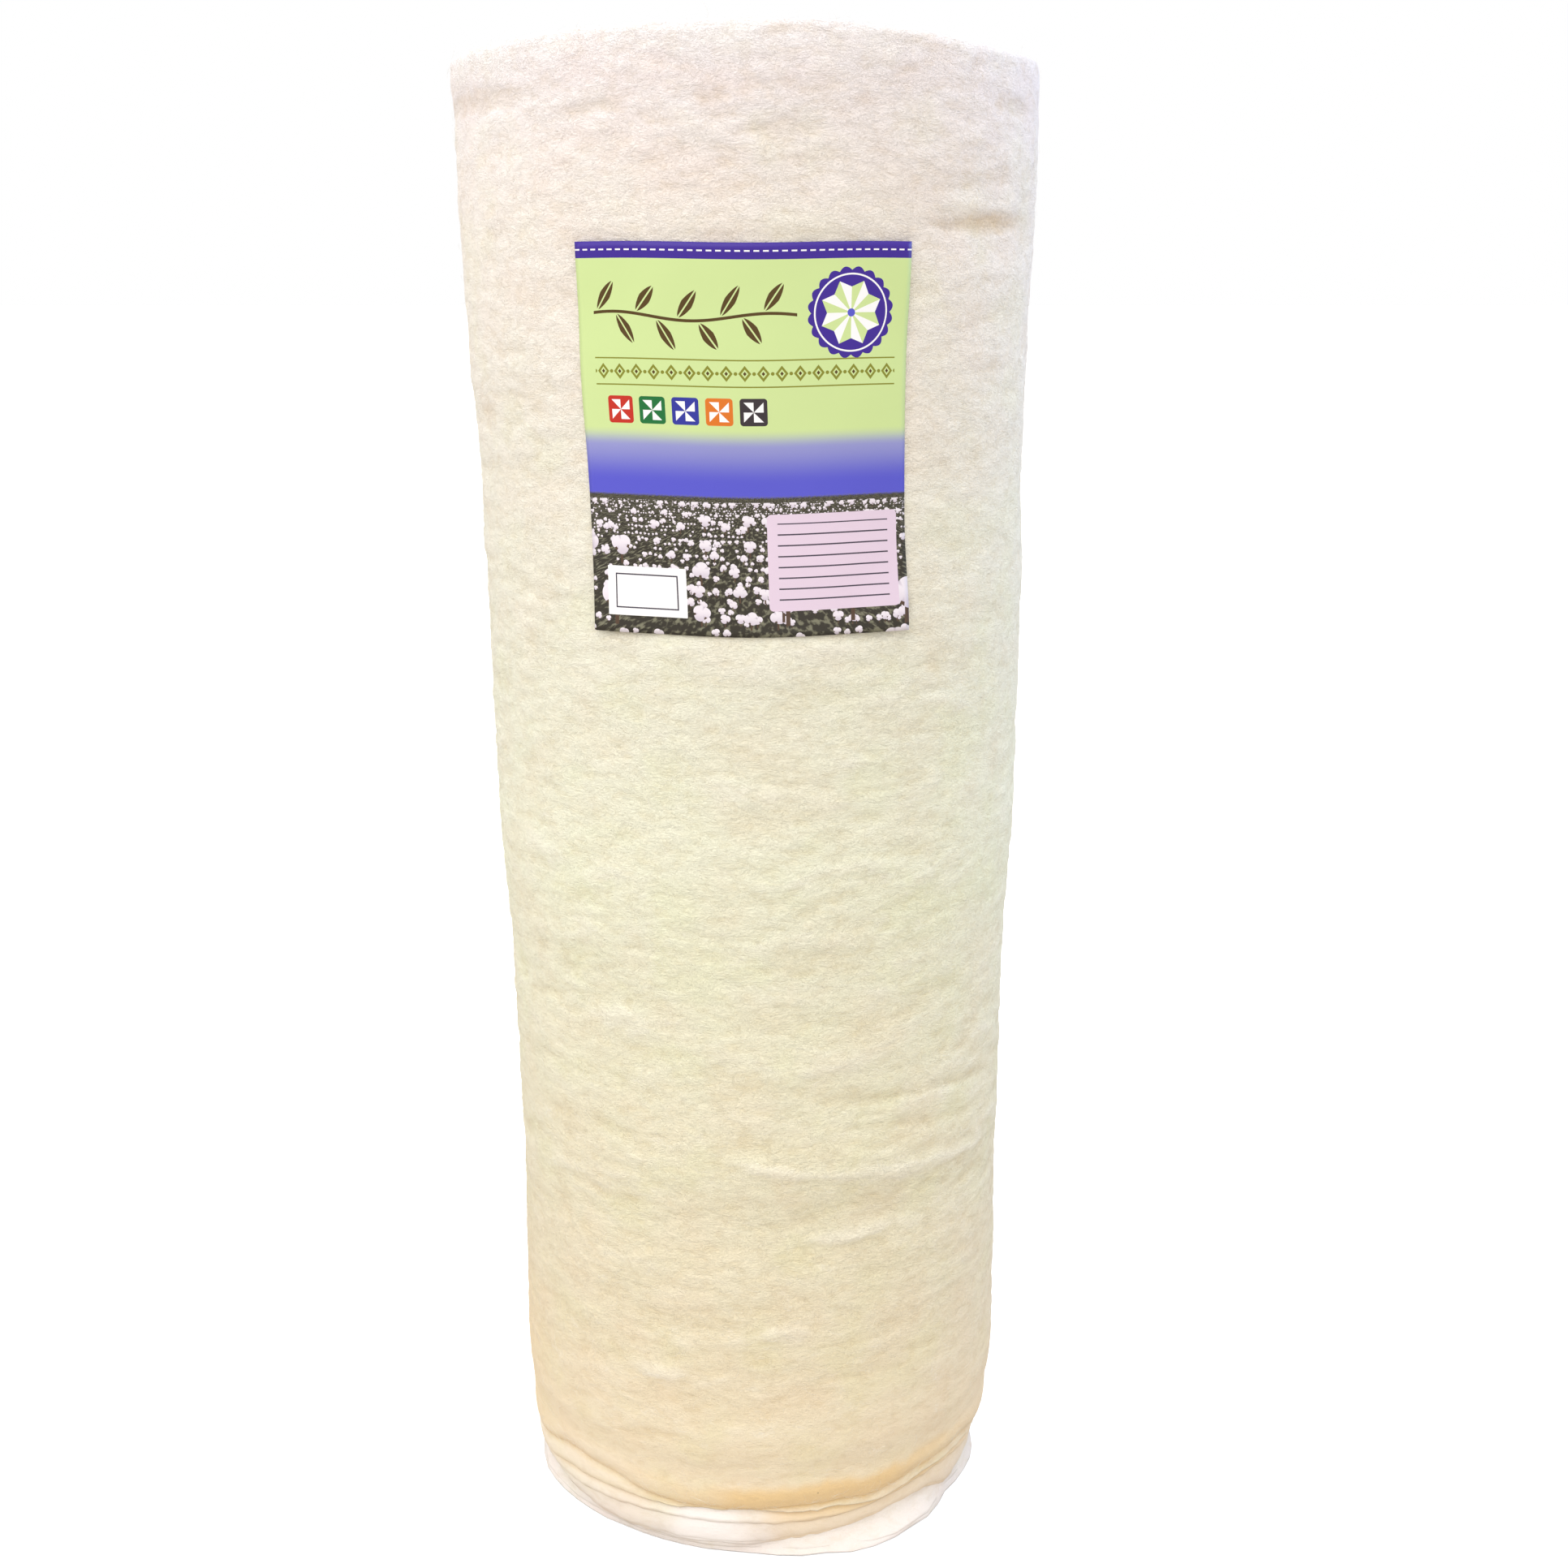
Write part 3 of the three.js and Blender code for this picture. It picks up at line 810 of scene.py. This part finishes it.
def winding_group():
    """Winds the cloth section round the roll from one turn to another."""
    sizes = ("First Turn", "Last Turn", "Columns Per Turn", "Turn Thickness", "Start Reach", "Crest Wander",
             "Foot Wander")
    tree, section, size = group_with("wind folded batting", sizes)
    count = (size["Last Turn"] - size["First Turn"]) * size["Columns Per Turn"] + 1
    line = add(tree, "GeometryNodeCurvePrimitiveLine").outputs["Curve"]
    line = add(tree, "GeometryNodeResampleCurve", {"Curve": line, "Count": count}).outputs["Curve"]
    share = Field(tree, tree.nodes.new("GeometryNodeSplineParameter").outputs["Factor"])
    turn = size["First Turn"] + (size["Last Turn"] - size["First Turn"]) * share
    line = through(tree, "GeometryNodeStoreNamedAttribute", line, Name="turn", Value=turn)
    outline = add(tree, "GeometryNodeMeshToCurve", {"Mesh": section}).outputs["Curve"]
    inputs = {"Curve": line, "Profile Curve": outline, "Fill Caps": True}
    cloth = add(tree, "GeometryNodeCurveToMesh", inputs).outputs["Mesh"]

    def kept(name):
        return Field(tree, add(tree, "GeometryNodeInputNamedAttribute", {"Name": name}).outputs["Attribute"])

    # Where each point is round the roll, and how far out
    turn = kept("turn")
    angle = (turn - TURNS) * (2 * math.pi) + LAP
    round_share = (angle / (2 * math.pi) + 0.75).math("FRACT")
    wide, deep = angle.math("COSINE"), angle.math("SINE")
    reach = (turn - TURNS + 0.5) * size["Turn Thickness"] + MEAN_HALF_WIDTH - size["Start Reach"]
    radius = kept("scale") * (reach - kept("inset"))
    for patch in PATCHES:
        across = (round_share - (patch.angle + 180) / 360 + 0.5).math("FRACT") - 0.5
        across = across * (360 / patch.half_arc)
        along = (kept("height") - patch.height) / patch.half_height
        bulge = (across * across + along * along).math("MULTIPLY", -1).math("EXPONENT")
        radius = radius + bulge * turn.between(*RIDGED) * patch.strength
    place = vector(tree, wide * radius * 20, deep * radius * 20, turn * 1.3 + kept("ply") * 0.6)
    slow, quick = (cloud(tree, place, scale, detail=2.0) for scale in (1.0, 2.7))

    # The fold's rise, and the edges at the foot
    rim = {name: rim_column(tree, round_share, name) for name in REACH}
    rise = rim["fold_rise"] * (turn.between(*CRESTED) * 0.85 + 0.15)
    rise = rise + (slow - 0.5) * size["Crest Wander"] * 2
    inner, near, far = rim["inner_edge"], rim["near_edge"], rim["far_edge"]
    shown, outermost = turn.between(*INNER_STEP), turn.between(*MIDDLE_STEP)
    foot = inner * shown + (rim["middle_edge"] - inner) * outermost
    foot = foot + abs(quick - 0.5) * size["Foot Wander"] * 2 + 0.0004
    height = kept("height") + kept("rise") * rise + kept("fall") * foot + kept("hang") * far

    # How the turns that show at the foot curl in, step in and slump out
    come_out = (height - near).between(-RETURN, 0) * 0.7 + 0.3
    gap = (height - far) / CREVICE_REACH
    crevice = (gap * gap * -1).math("EXPONENT")
    undercut = (height - far).between(-0.016, 0.002) * UNDERCUT
    groove = (crevice * (CREVICE + EXTRA_CREVICE) + undercut) * rim["tuck"]
    steps = turn.between(*BEHIND_MIDDLE) + turn.between(*BEHIND_INNER)
    groove = groove + steps * (height - far).between(0.006, -0.006) * STEP_IN
    inner_step = turn.between(*INNER_TURNS) * (height - foot).between(0.009, 0.0)
    groove = groove + inner_step * INNER_STEP_IN
    behind = turn.between(*BEHIND)
    radius = radius - ((height - near).between(HEM, 0) * rim["curl"] * come_out + groove) * behind
    lumps = cloud(tree, vector(tree, wide * 4.5, deep * 4.5, height * 26), scale=5.0, detail=3.0)
    lumpy = (height - far).between(0.004, -0.008) * behind * LUMPY
    radius = radius + (quick - 0.5) * kept("rise") * FOLD_WANDER - (lumps - 0.2).math("MAXIMUM", 0) * lumpy
    slumped = rim["flare"] * turn.between(*SLUMPED)
    radius = radius + slumped * (inner - height).between(0.002, 0.018)

    # Painted on the foot: shade above 0, over a faint even tan, and paler painted light below 0
    beige = round_share.between(*BEIGE_SHADE_FROM) * round_share.between(*BEIGE_SHADE_TO)
    # Where the lobes at the front get white painted light
    white = round_share.between(*WHITE_LIGHT_FROM) * round_share.between(*WHITE_LIGHT_TO)
    # Painted shade in the crevices, on the beige band at the right and just above the lowest edge, a faint
    # even tan, and white painted light
    tint_and_painted_shading = crevice * (0.40 - white * 0.2) + beige * (outermost * 0.12 + 0.30)
    tint_and_painted_shading = tint_and_painted_shading + (height - foot).between(0.007, 0.001) * 0.15 + 0.08 - white * 0.95
    tint_and_painted_shading = tint_and_painted_shading * shown * height.between(0.14, 0.07)
    # Paler painted light on the slumped inner turns near the floor
    tint_and_painted_shading = tint_and_painted_shading - (1 - shown) * height.between(0.08, 0.03) * (rim["flare"] * 8 + 0.08)

    wide = wide * (radius + size["Start Reach"]) + kept("lean") + AXIS[0]
    moved = vector(tree, wide, deep * radius + AXIS[1], height)
    cloth = through(tree, "GeometryNodeStoreNamedAttribute", cloth, Name="tint_and_painted_shading", Value=tint_and_painted_shading)
    cloth = through(tree, "GeometryNodeSetPosition", cloth, Position=moved)
    cloth = through(tree, "GeometryNodeSetShadeSmooth", cloth)
    return finished(tree, cloth, edge_cotton)


# The inner turns are paler and pinker than the face, as painted light where they show at the foot, and darker
# right at the floor as painted shade.
INNER_TINTS_AND_SHADING = [
    (0.00, (0.81, 0.745, 0.70)),
    (0.03, (0.90, 0.82, 0.71)),
    (1.00, (0.88, 0.81, 0.75)),
]
edge_cotton = natural_cotton("needled cotton edges", bump=0.7, fleck_share=0.10, stops=INNER_TINTS_AND_SHADING)
winding = winding_group()
for wound in WOUND:
    piece = built(wound.name, section_mesh(), winding, {
        "First Turn": wound.first_turn,
        "Last Turn": wound.last_turn,
        "Columns Per Turn": float(wound.columns_per_turn),
        "Turn Thickness": TURN,
        "Start Reach": START_REACH,
        "Crest Wander": 0.003,
        "Foot Wander": 0.003,
    })
    turned_outward(piece.data)
    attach(piece, "root")
    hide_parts("batting_roll")
    length = length_between(wound.first_turn, wound.last_turn)
length = length_between(OUTER_START, TURNS)

# Paper label
# A sheet of glossy printed paper, about nine inches by ten, that lies against the front of the roll and
# lifts a little at its corners. Its print is made up: a quilt star, a sprig, diamonds and a cotton field.

# The label and its print are measured in millimetres from its lower left corner.
LABEL_WIDTH, LABEL_HEIGHT = 225.0, 260.0
# Inks as red, green and blue from 0 to 255
INKS = {
    "lime": (206, 226, 156),
    "periwinkle": (150, 152, 206),
    "violet blue": (88, 88, 204),
    "indigo": (62, 36, 148),
    "brown": (84, 62, 22),
    "olive": (134, 136, 44),
    "white": (250, 249, 250),
    "lavender": (226, 206, 224),
    "rule": (70, 64, 78),
    "boll": (238, 230, 238),
    "boll shade": (186, 172, 190),
    "calyx": (86, 66, 52),
    "leaf dark": (54, 50, 42),
    "leaf pale": (126, 124, 104),
}
TILES = table(
    "left ink",
    (20.0, (196, 46, 32)),
    (42.5, (24, 112, 56)),
    (65.0, (48, 54, 158)),
    (87.5, (222, 118, 34)),
    (110.0, (56, 48, 54)),
)
TILE_SIDE, TILE_BOTTOM = 18.0, 143.0
STAR_X, STAR_Y, STAR_RADIUS = 184, 215, 21.5
CHAIN_Y, CHAIN_STEP, LEAF_STEP, RULE_STEP = 177, 12, 14, 7.4
# Panels, each with its left side, bottom, width and height, and how round its corners are
PANEL, RULES = (126, 18, 92, 66, 3.0), (133, 24, 78, 54)
CARD, CARD_FRAME, CARD_MIDDLE = (12, 12, 58, 34, 0.5), (18, 17, 46, 24), (19, 18, 44, 22)
# The cotton field: its top, its vanishing point, how crowded its rows are, and its bolls in layers
FIELD_TOP, VANISHING_X, VANISHING_Y, ROWS = 92, 118, 106, 4.2
BOLLS = table("crowd share", (3.0, 0.34), (2.0, 0.28), (1.2, 0.26), (0.72, 0.30), (0.44, 0.52))
# In metres, how thick the paper is, how far it lies off the batting and cockles, how uneven its sides and its
# ends are, and how far its lower left, lower right, upper left and upper right corners lift
PAPER, LABEL_GAP, COCKLE = 0.00035, 0.0004, 0.0005
UNEVEN_SIDES, UNEVEN_ENDS = 0.0006, 0.0005
CORNER_LIFT = (0.0022, 0.0030, 0.0012, 0.0018)
LABEL_COLUMNS, LABEL_ROWS = 60, 66


def linear(ink):
    """An ink's colour in the linear values that shaders use."""
    return (*(((part / 255 + 0.055) / 1.055) ** 2.4 if part > 10 else part / 3295 for part in ink), 1.0)


def label_print(tree):
    """The colour of the print, from the label's own place map."""
    given = add(tree, "ShaderNodeSeparateXYZ", {0: tree.nodes.new("ShaderNodeUVMap").outputs[0]})
    u = Field(tree, given.outputs["X"]) * LABEL_WIDTH
    v = Field(tree, given.outputs["Y"]) * LABEL_HEIGHT

    def inked(mask, ink, under):
        return mixed(tree, mask, under, linear(INKS.get(ink, ink)))

    def box(left, bottom, width, height, corner=0.0):
        side = (abs(u - (left + width / 2)) - (width / 2 - corner)).math("MAXIMUM", 0)
        end = (abs(v - (bottom + height / 2)) - (height / 2 - corner)).math("MAXIMUM", 0)
        return (side * side + end * end).math("SQRT") < max(corner, 0.01)

    def tilted(x, y, turn):
        right = x * math.cos(turn) + y * math.sin(turn)
        return right, y * math.cos(turn) - x * math.sin(turn)

    # Sky and ground
    colour = inked(v.between(141, 128), "periwinkle", linear(INKS["lime"]))
    colour = inked(v.between(133, 104), "violet blue", colour)
    wide = (VANISHING_Y - v).math("MAXIMUM", 3)
    row = wide.math("LOGARITHM", math.e) * ROWS
    ground = vector(tree, (u - VANISHING_X) / wide * ROWS, row)
    leaves = cloud(tree, ground, scale=5.5, detail=3.0)
    field = mixed(tree, leaves.between(0.48, 0.66), linear(INKS["leaf dark"]), linear(INKS["leaf pale"]))
    colour = mixed(tree, v < leaves * 7 + FIELD_TOP, colour, field)
    for layer, bolls in enumerate(BOLLS):
        step_row = row * bolls.crowd + layer * 0.37
        number = step_row.math("FLOOR")
        row_wide = ((number + 0.5 - layer * 0.37) / (ROWS * bolls.crowd)).math("EXPONENT")
        step_lane = (u - VANISHING_X) / row_wide * ROWS * bolls.crowd + number * 0.5 + layer * 0.61
        cell = vector(tree, step_lane.math("FLOOR"), number, layer + 0.5)
        chance = add(tree, "ShaderNodeTexWhiteNoise", {"Vector": cell}, noise_dimensions="3D")
        chance = add(tree, "ShaderNodeSeparateColor", {0: chance.outputs["Color"]}).outputs
        one, two, three = (Field(tree, socket) for socket in chance)
        x = step_lane.math("FRACT") - 0.5 + (one - 0.5) * 0.24
        y = step_row.math("FRACT") - 0.5 + (two - 0.5) * 0.24
        away = (x * x + y * y * 1.2).math("SQRT") / (two * 0.10 + 0.26)
        lobe = abs((y.math("ARCTAN2", x) * 1.5 + one * 3).math("COSINE"))
        grown = (v < FIELD_TOP) * (three < bolls.share)
        boll = (away < lobe * 0.22 + 0.80) * grown
        stalk = (abs(x) < 0.035) * (y > 0) * (y < 0.5) * grown
        shade = (1 - lobe.between(0.0, 0.4)) * away.between(0.2, 0.9) * 0.7 + y.between(-0.1, 0.32) * 0.6
        puff = mixed(tree, shade.math("MINIMUM", 1), linear(INKS["boll"]), linear(INKS["boll shade"]))
        husk = (away > 0.62) * (lobe < 0.30) * (y > 0)
        colour = inked(stalk, "calyx", colour)
        colour = mixed(tree, boll, colour, inked(husk, "calyx", puff))

    # Quilt star on a scalloped disc
    x, y = u - STAR_X, v - STAR_Y
    angle = y.math("ARCTAN2", x)
    away = (x * x + y * y).math("SQRT")
    colour = inked(away < abs((angle * 10).math("SINE")) * 2.4 + 27, "indigo", colour)
    colour = inked(abs(away - 24.6) < 0.55, "white", colour)
    sector = ((angle / (math.pi / 4) + 8.0).math("FRACT") - 0.5) * (math.pi / 4)
    edge = (abs(sector) - math.radians(45)).math("COSINE") * away
    star = edge < STAR_RADIUS * math.cos(math.radians(45))
    colour = inked(star, "white", colour)
    colour = inked(star * (sector > 0), "lime", colour)
    colour = inked(away < 2.6, "violet blue", colour)

    # Leaf sprig
    stem = (u * 0.06).math("SINE") * 2.6 + 213
    colour = inked((abs(v - stem) < 1.0) * (u > 12) * (u < 148), "brown", colour)
    side = ((u / LEAF_STEP).math("FLOOR") / 2).math("FRACT") * 4 - 1
    x = ((u / LEAF_STEP).math("FRACT") - 0.5) * LEAF_STEP
    right, high = tilted(x, (v - stem) * side - 10.5, math.radians(56))
    leaf = right * right / 118 + high * high / 15 + abs(high * right) / 70 < 1
    colour = inked(leaf * (1 - (abs(high) < 0.5)) * (u > 14) * (u < 140), "brown", colour)

    # Stitched band along the top
    colour = inked(v > 249.5, "indigo", colour)
    stitch = ((u / 6).math("FRACT") < 0.6) * (abs(v - 254.8) < 0.5)
    colour = inked(stitch, "white", colour)

    # Chain of diamonds between two rules
    step = abs(((u / CHAIN_STEP).math("FRACT") - 0.5) * CHAIN_STEP)
    up = v - CHAIN_Y
    reach = (u > 12) * (u < 216)
    diamond = step / 4.2 + abs(up) / 5.2
    colour = inked((diamond < 1) * (diamond > 0.55) * reach, "olive", colour)
    colour = inked((diamond < 0.28) * reach, "brown", colour)
    dot = (step - CHAIN_STEP / 2) * (step - CHAIN_STEP / 2) + up * up < 1.4
    colour = inked(dot * reach, "olive", colour)
    colour = inked((abs(abs(up) - 8.6) < 0.45) * reach, "olive", colour)

    # Patchwork tiles
    for tile in TILES:
        middle = tile.left + TILE_SIDE / 2
        colour = inked(box(tile.left, TILE_BOTTOM, TILE_SIDE, TILE_SIDE, 2.2), tile.ink, colour)
        x, y = u - middle, v - (TILE_BOTTOM + TILE_SIDE / 2)
        inside = (abs(x) < TILE_SIDE * 0.36) * (abs(y) < TILE_SIDE * 0.36)
        pinwheel = (x * y > 0) * (abs(x) > abs(y)) + (x * y < 0) * (abs(x) < abs(y))
        colour = inked(inside * pinwheel, "white", colour)

    # Plain panels
    colour = inked(box(*PANEL), "lavender", colour)
    lines = ((v / RULE_STEP).math("FRACT") - 0.5) * RULE_STEP
    colour = inked(box(*RULES) * (abs(lines) < 0.5), "rule", colour)
    colour = inked(box(*CARD), "white", colour)
    colour = inked(box(*CARD_FRAME) * (1 - box(*CARD_MIDDLE)), "rule", colour)
    return colour


def label_mesh():
    """A thin closed sheet laid on the flattened face, cockled a little and lifted at its corners."""
    share = np.linspace(0, 1, LABEL_COLUMNS + 1)[None, :]
    rise = np.linspace(0, 1, LABEL_ROWS + 1)[:, None]
    turn = TURNS - (LAP_DEGREES + 90 - LABEL_ANGLE * (2 * share - 1)) / 360
    uneven = UNEVEN_SIDES * np.sin(rise * 7 + 1) * (2 * share - 1) ** 4
    turn = turn + uneven / (2 * math.pi * MEAN_HALF_WIDTH)
    height = LABEL_BOTTOM + (LABEL_TOP - LABEL_BOTTOM) * rise + UNEVEN_ENDS * np.sin(share * 9)
    corners = [(1 - share) * (1 - rise), share * (1 - rise), (1 - share) * rise, share * rise]
    lift = sum(size * ramp(corner, 0.72, 1.0) for size, corner in zip(CORNER_LIFT, corners))
    grid = np.stack(np.broadcast_arrays(share * 3.6, rise * 4.0, 0.5), axis=-1)
    inset = -LABEL_GAP - COCKLE * (1 + drift(grid, (1, 1, 1), 2, 2.6)) - lift
    front = on_roll(turn, height, inset - PAPER)
    back = on_roll(turn, height, inset)
    points = np.concatenate([front.reshape(-1, 3), back.reshape(-1, 3)])
    index = np.arange(front[..., 0].size).reshape(front.shape[:2])
    other = index + index.size
    quads = []
    for sheet, order in ((index, 1), (other, -1)):
        face = np.stack([sheet[:-1, :-1], sheet[:-1, 1:], sheet[1:, 1:], sheet[1:, :-1]], -1)
        quads.append(face.reshape(-1, 4)[:, ::order])
    rim = np.concatenate([index[0, :], index[1:, -1], index[-1, -2::-1], index[-2::-1, 0]])
    quads.append(np.stack([rim[1:], rim[:-1], rim[:-1] + index.size, rim[1:] + index.size], axis=-1))
    mesh = bpy.data.meshes.new("paper_label")
    mesh.from_pydata(points.tolist(), [], np.concatenate(quads).tolist())
    places = np.stack(np.broadcast_arrays(share, rise), axis=-1).reshape(-1, 2)
    corner_points = np.empty(len(mesh.loops), int)
    mesh.loops.foreach_get("vertex_index", corner_points)
    mesh.uv_layers.new(name="place")
    mesh.uv_layers["place"].data.foreach_set("uv", places[corner_points % index.size].ravel())
    mesh.shade_smooth()
    return mesh


GLOSS = {"Roughness": 0.42, "Specular IOR Level": 0.35}
printed_paper, paper_tree, paper_shader = painted("printed paper", GLOSS)
paper_tree.links.new(label_print(paper_tree), paper_shader.inputs["Base Color"])
paper_label_mesh = label_mesh()
paper_label_mesh.materials.append(printed_paper)
turned_outward(paper_label_mesh)
paper_label = placed("paper_label", paper_label_mesh)
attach(paper_label, "root")
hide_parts("label")

# Loose fibres
# Short cotton strands that have worked out of the face of the last turn, thicker along its raw hem and over
# the fold at the top. Each lies close to the cloth with one end a little raised.
FIBRES_PER_AREA = 4300.0
FIBRE_LENGTH = 0.009
FIBRE_RADIUS = 0.000045
# A strand of length 1, and the least and most that each one is turned and stretched
FIBRE_BEND = {"Resolution": 3, "Start": (0, 0, 0), "Middle": (0.45, 0.30, 0.16), "End": (1.0, 0.0, 0.10)}
SPIN_LOW, SPIN_HIGH = (-0.25, -0.15, 0.0), (0.25, 0.25, 2 * math.pi)
SIZE_LOW, SIZE_HIGH = (0.6, -1.8, 0.3), (1.5, 1.8, 1.6)
SPREAD_SEED, SPIN_SEED, SIZE_SEED = 5, 11, 12


def fibre_group(material):
    """Scatters bent strands over the shown faces of the cloth."""
    tree, cloth, size = group_with("scatter loose fibres", ("Per Area", "Length", "Radius"))
    fuzz = Field(tree, add(tree, "GeometryNodeInputNamedAttribute", {"Name": "fuzz"}).outputs["Attribute"])
    inputs = {"Mesh": cloth, "Density": fuzz * size["Per Area"], "Seed": SPREAD_SEED}
    spread = add(tree, "GeometryNodeDistributePointsOnFaces", inputs, distribute_method="RANDOM")
    bend = add(tree, "GeometryNodeCurveQuadraticBezier", FIBRE_BEND).outputs["Curve"]
    inputs = {"Resolution": 3, "Radius": size["Radius"] / size["Length"]}
    ring = add(tree, "GeometryNodeCurvePrimitiveCircle", inputs).outputs["Curve"]
    strand = add(tree, "GeometryNodeCurveToMesh", {"Curve": bend, "Profile Curve": ring})

    def random_vector(low, high, seed):
        inputs = {0: low, 1: high, "Seed": seed}
        return add(tree, "FunctionNodeRandomValue", inputs, data_type="FLOAT_VECTOR").outputs[0]

    inputs = {0: spread.outputs["Rotation"], 1: random_vector(SPIN_LOW, SPIN_HIGH, SPIN_SEED)}
    turned = add(tree, "FunctionNodeRotateRotation", inputs, rotation_space="LOCAL")
    inputs = {0: random_vector(SIZE_LOW, SIZE_HIGH, SIZE_SEED), "Scale": size["Length"]}
    shape = add(tree, "ShaderNodeVectorMath", inputs, operation="SCALE")
    inputs = {"Points": spread.outputs["Points"], "Instance": strand.outputs["Mesh"]}
    inputs.update({"Rotation": turned.outputs[0], "Scale": shape.outputs[0]})
    return finished(tree, add(tree, "GeometryNodeInstanceOnPoints", inputs).outputs[0], material)


fibre_cotton = painted("loose cotton fibre", {"Base Color": (0.93, 0.89, 0.82, 1), "Roughness": 0.8})[0]
loose_fibres = built("loose_fibres", outer_mesh, fibre_group(fibre_cotton), {
    "Per Area": FIBRES_PER_AREA,
    "Length": FIBRE_LENGTH,
    "Radius": FIBRE_RADIUS,
})
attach(loose_fibres, "root")
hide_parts("batting_roll")

# Floor, light and camera
# A plain pale studio floor that runs to the horizon, broad soft light from above and the left, a cool light
# on the right edge, and the camera level with the top of the label, looking down.
floor_mesh = bpy.data.meshes.new("floor")
floor_mesh.from_pydata([(-30, -30, 0), (30, -30, 0), (30, 30, 0), (-30, 30, 0)], [], [(0, 1, 2, 3)])
floor = placed("floor", floor_mesh)
floor_paint, floor_tree, floor_shader = painted("pale floor", {"Roughness": 0.9, "Emission Strength": 0.45})
seen = floor_tree.nodes.new("ShaderNodeLightPath").outputs["Is Camera Ray"]
floor_tone = mixed(floor_tree, seen, (0.48, 0.43, 0.37, 1), (0.90, 0.90, 0.90, 1))
floor_glow = mixed(floor_tree, seen, (0, 0, 0, 1), (1, 1, 1, 1))
floor_tree.links.new(floor_tone, floor_shader.inputs["Base Color"])
floor_tree.links.new(floor_glow, floor_shader.inputs["Emission Color"])
floor_mesh.materials.append(floor_paint)

world = bpy.data.worlds.new("studio")
bpy.context.scene.world = world
world.use_nodes = True
sky = world.node_tree
lit = sky.nodes["Background"]
lit.inputs["Color"].default_value = (0.98, 0.99, 1.0, 1)
lit.inputs["Strength"].default_value = 0.94
white_sky = add(sky, "ShaderNodeBackground", {"Color": (1, 1, 1, 1), "Strength": 1.0}).outputs[0]
seen = sky.nodes.new("ShaderNodeLightPath").outputs["Is Camera Ray"]
both = add(sky, "ShaderNodeMixShader", {0: seen, 1: lit.outputs[0], 2: white_sky})
sky.links.new(both.outputs[0], sky.nodes["World Output"].inputs["Surface"])

LAMPS = table(
    "name place aim size power colour",
    ("low front", (0.5, -1.8, 0.10), (0, 0, 0.0), 0.6, 2.2, (1.0, 0.96, 0.96)),
    ("upper left", (-1.0, -0.25, 1.40), (0, 0, 1.1), 0.6, 1.4, (0.96, 0.97, 1.0)),
    ("right edge", (1.2, 0.45, 1.30), (0, 0, 0.9), 0.6, 7.5, (0.38, 0.60, 1.0)),
)
SUNS = table(
    "name power spread toward colour",
    ("key", 0.92, 50, (0.53, 0.82, -0.95), (1.0, 0.98, 0.95)),
    ("overhead", 0.95, 70, (0.05, 0.25, -1.0), (1.0, 1.0, 1.0)),
)


def lit_by(row, kind, toward):
    """A light from a row of a table, turned toward a direction."""
    light = bpy.data.lights.new(row.name, kind)
    light.energy = row.power
    light.color = row.colour
    holder = placed(row.name, light)
    holder.rotation_euler = toward.to_track_quat("-Z", "Y").to_euler()
    return holder


for lamp in LAMPS:
    holder = lit_by(lamp, "AREA", Vector(lamp.aim) - Vector(lamp.place))
    holder.location = lamp.place
    holder.visible_camera = False
    holder.data.shape = "DISK"
    holder.data.size = lamp.size
for sun in SUNS:
    lit_by(sun, "SUN", Vector(sun.toward)).data.angle = math.radians(sun.spread)

camera_data = bpy.data.cameras.new("camera")
camera_data.lens = 42.44
camera_data.sensor_width = 36.0
camera = placed("camera", camera_data)
camera.location = (0.0272, -1.4236, 1.022)
camera.rotation_euler = (math.radians(90 - 16.35), 0, 0)
bpy.context.scene.camera = camera
bpy.context.scene.view_settings.view_transform = "Standard"
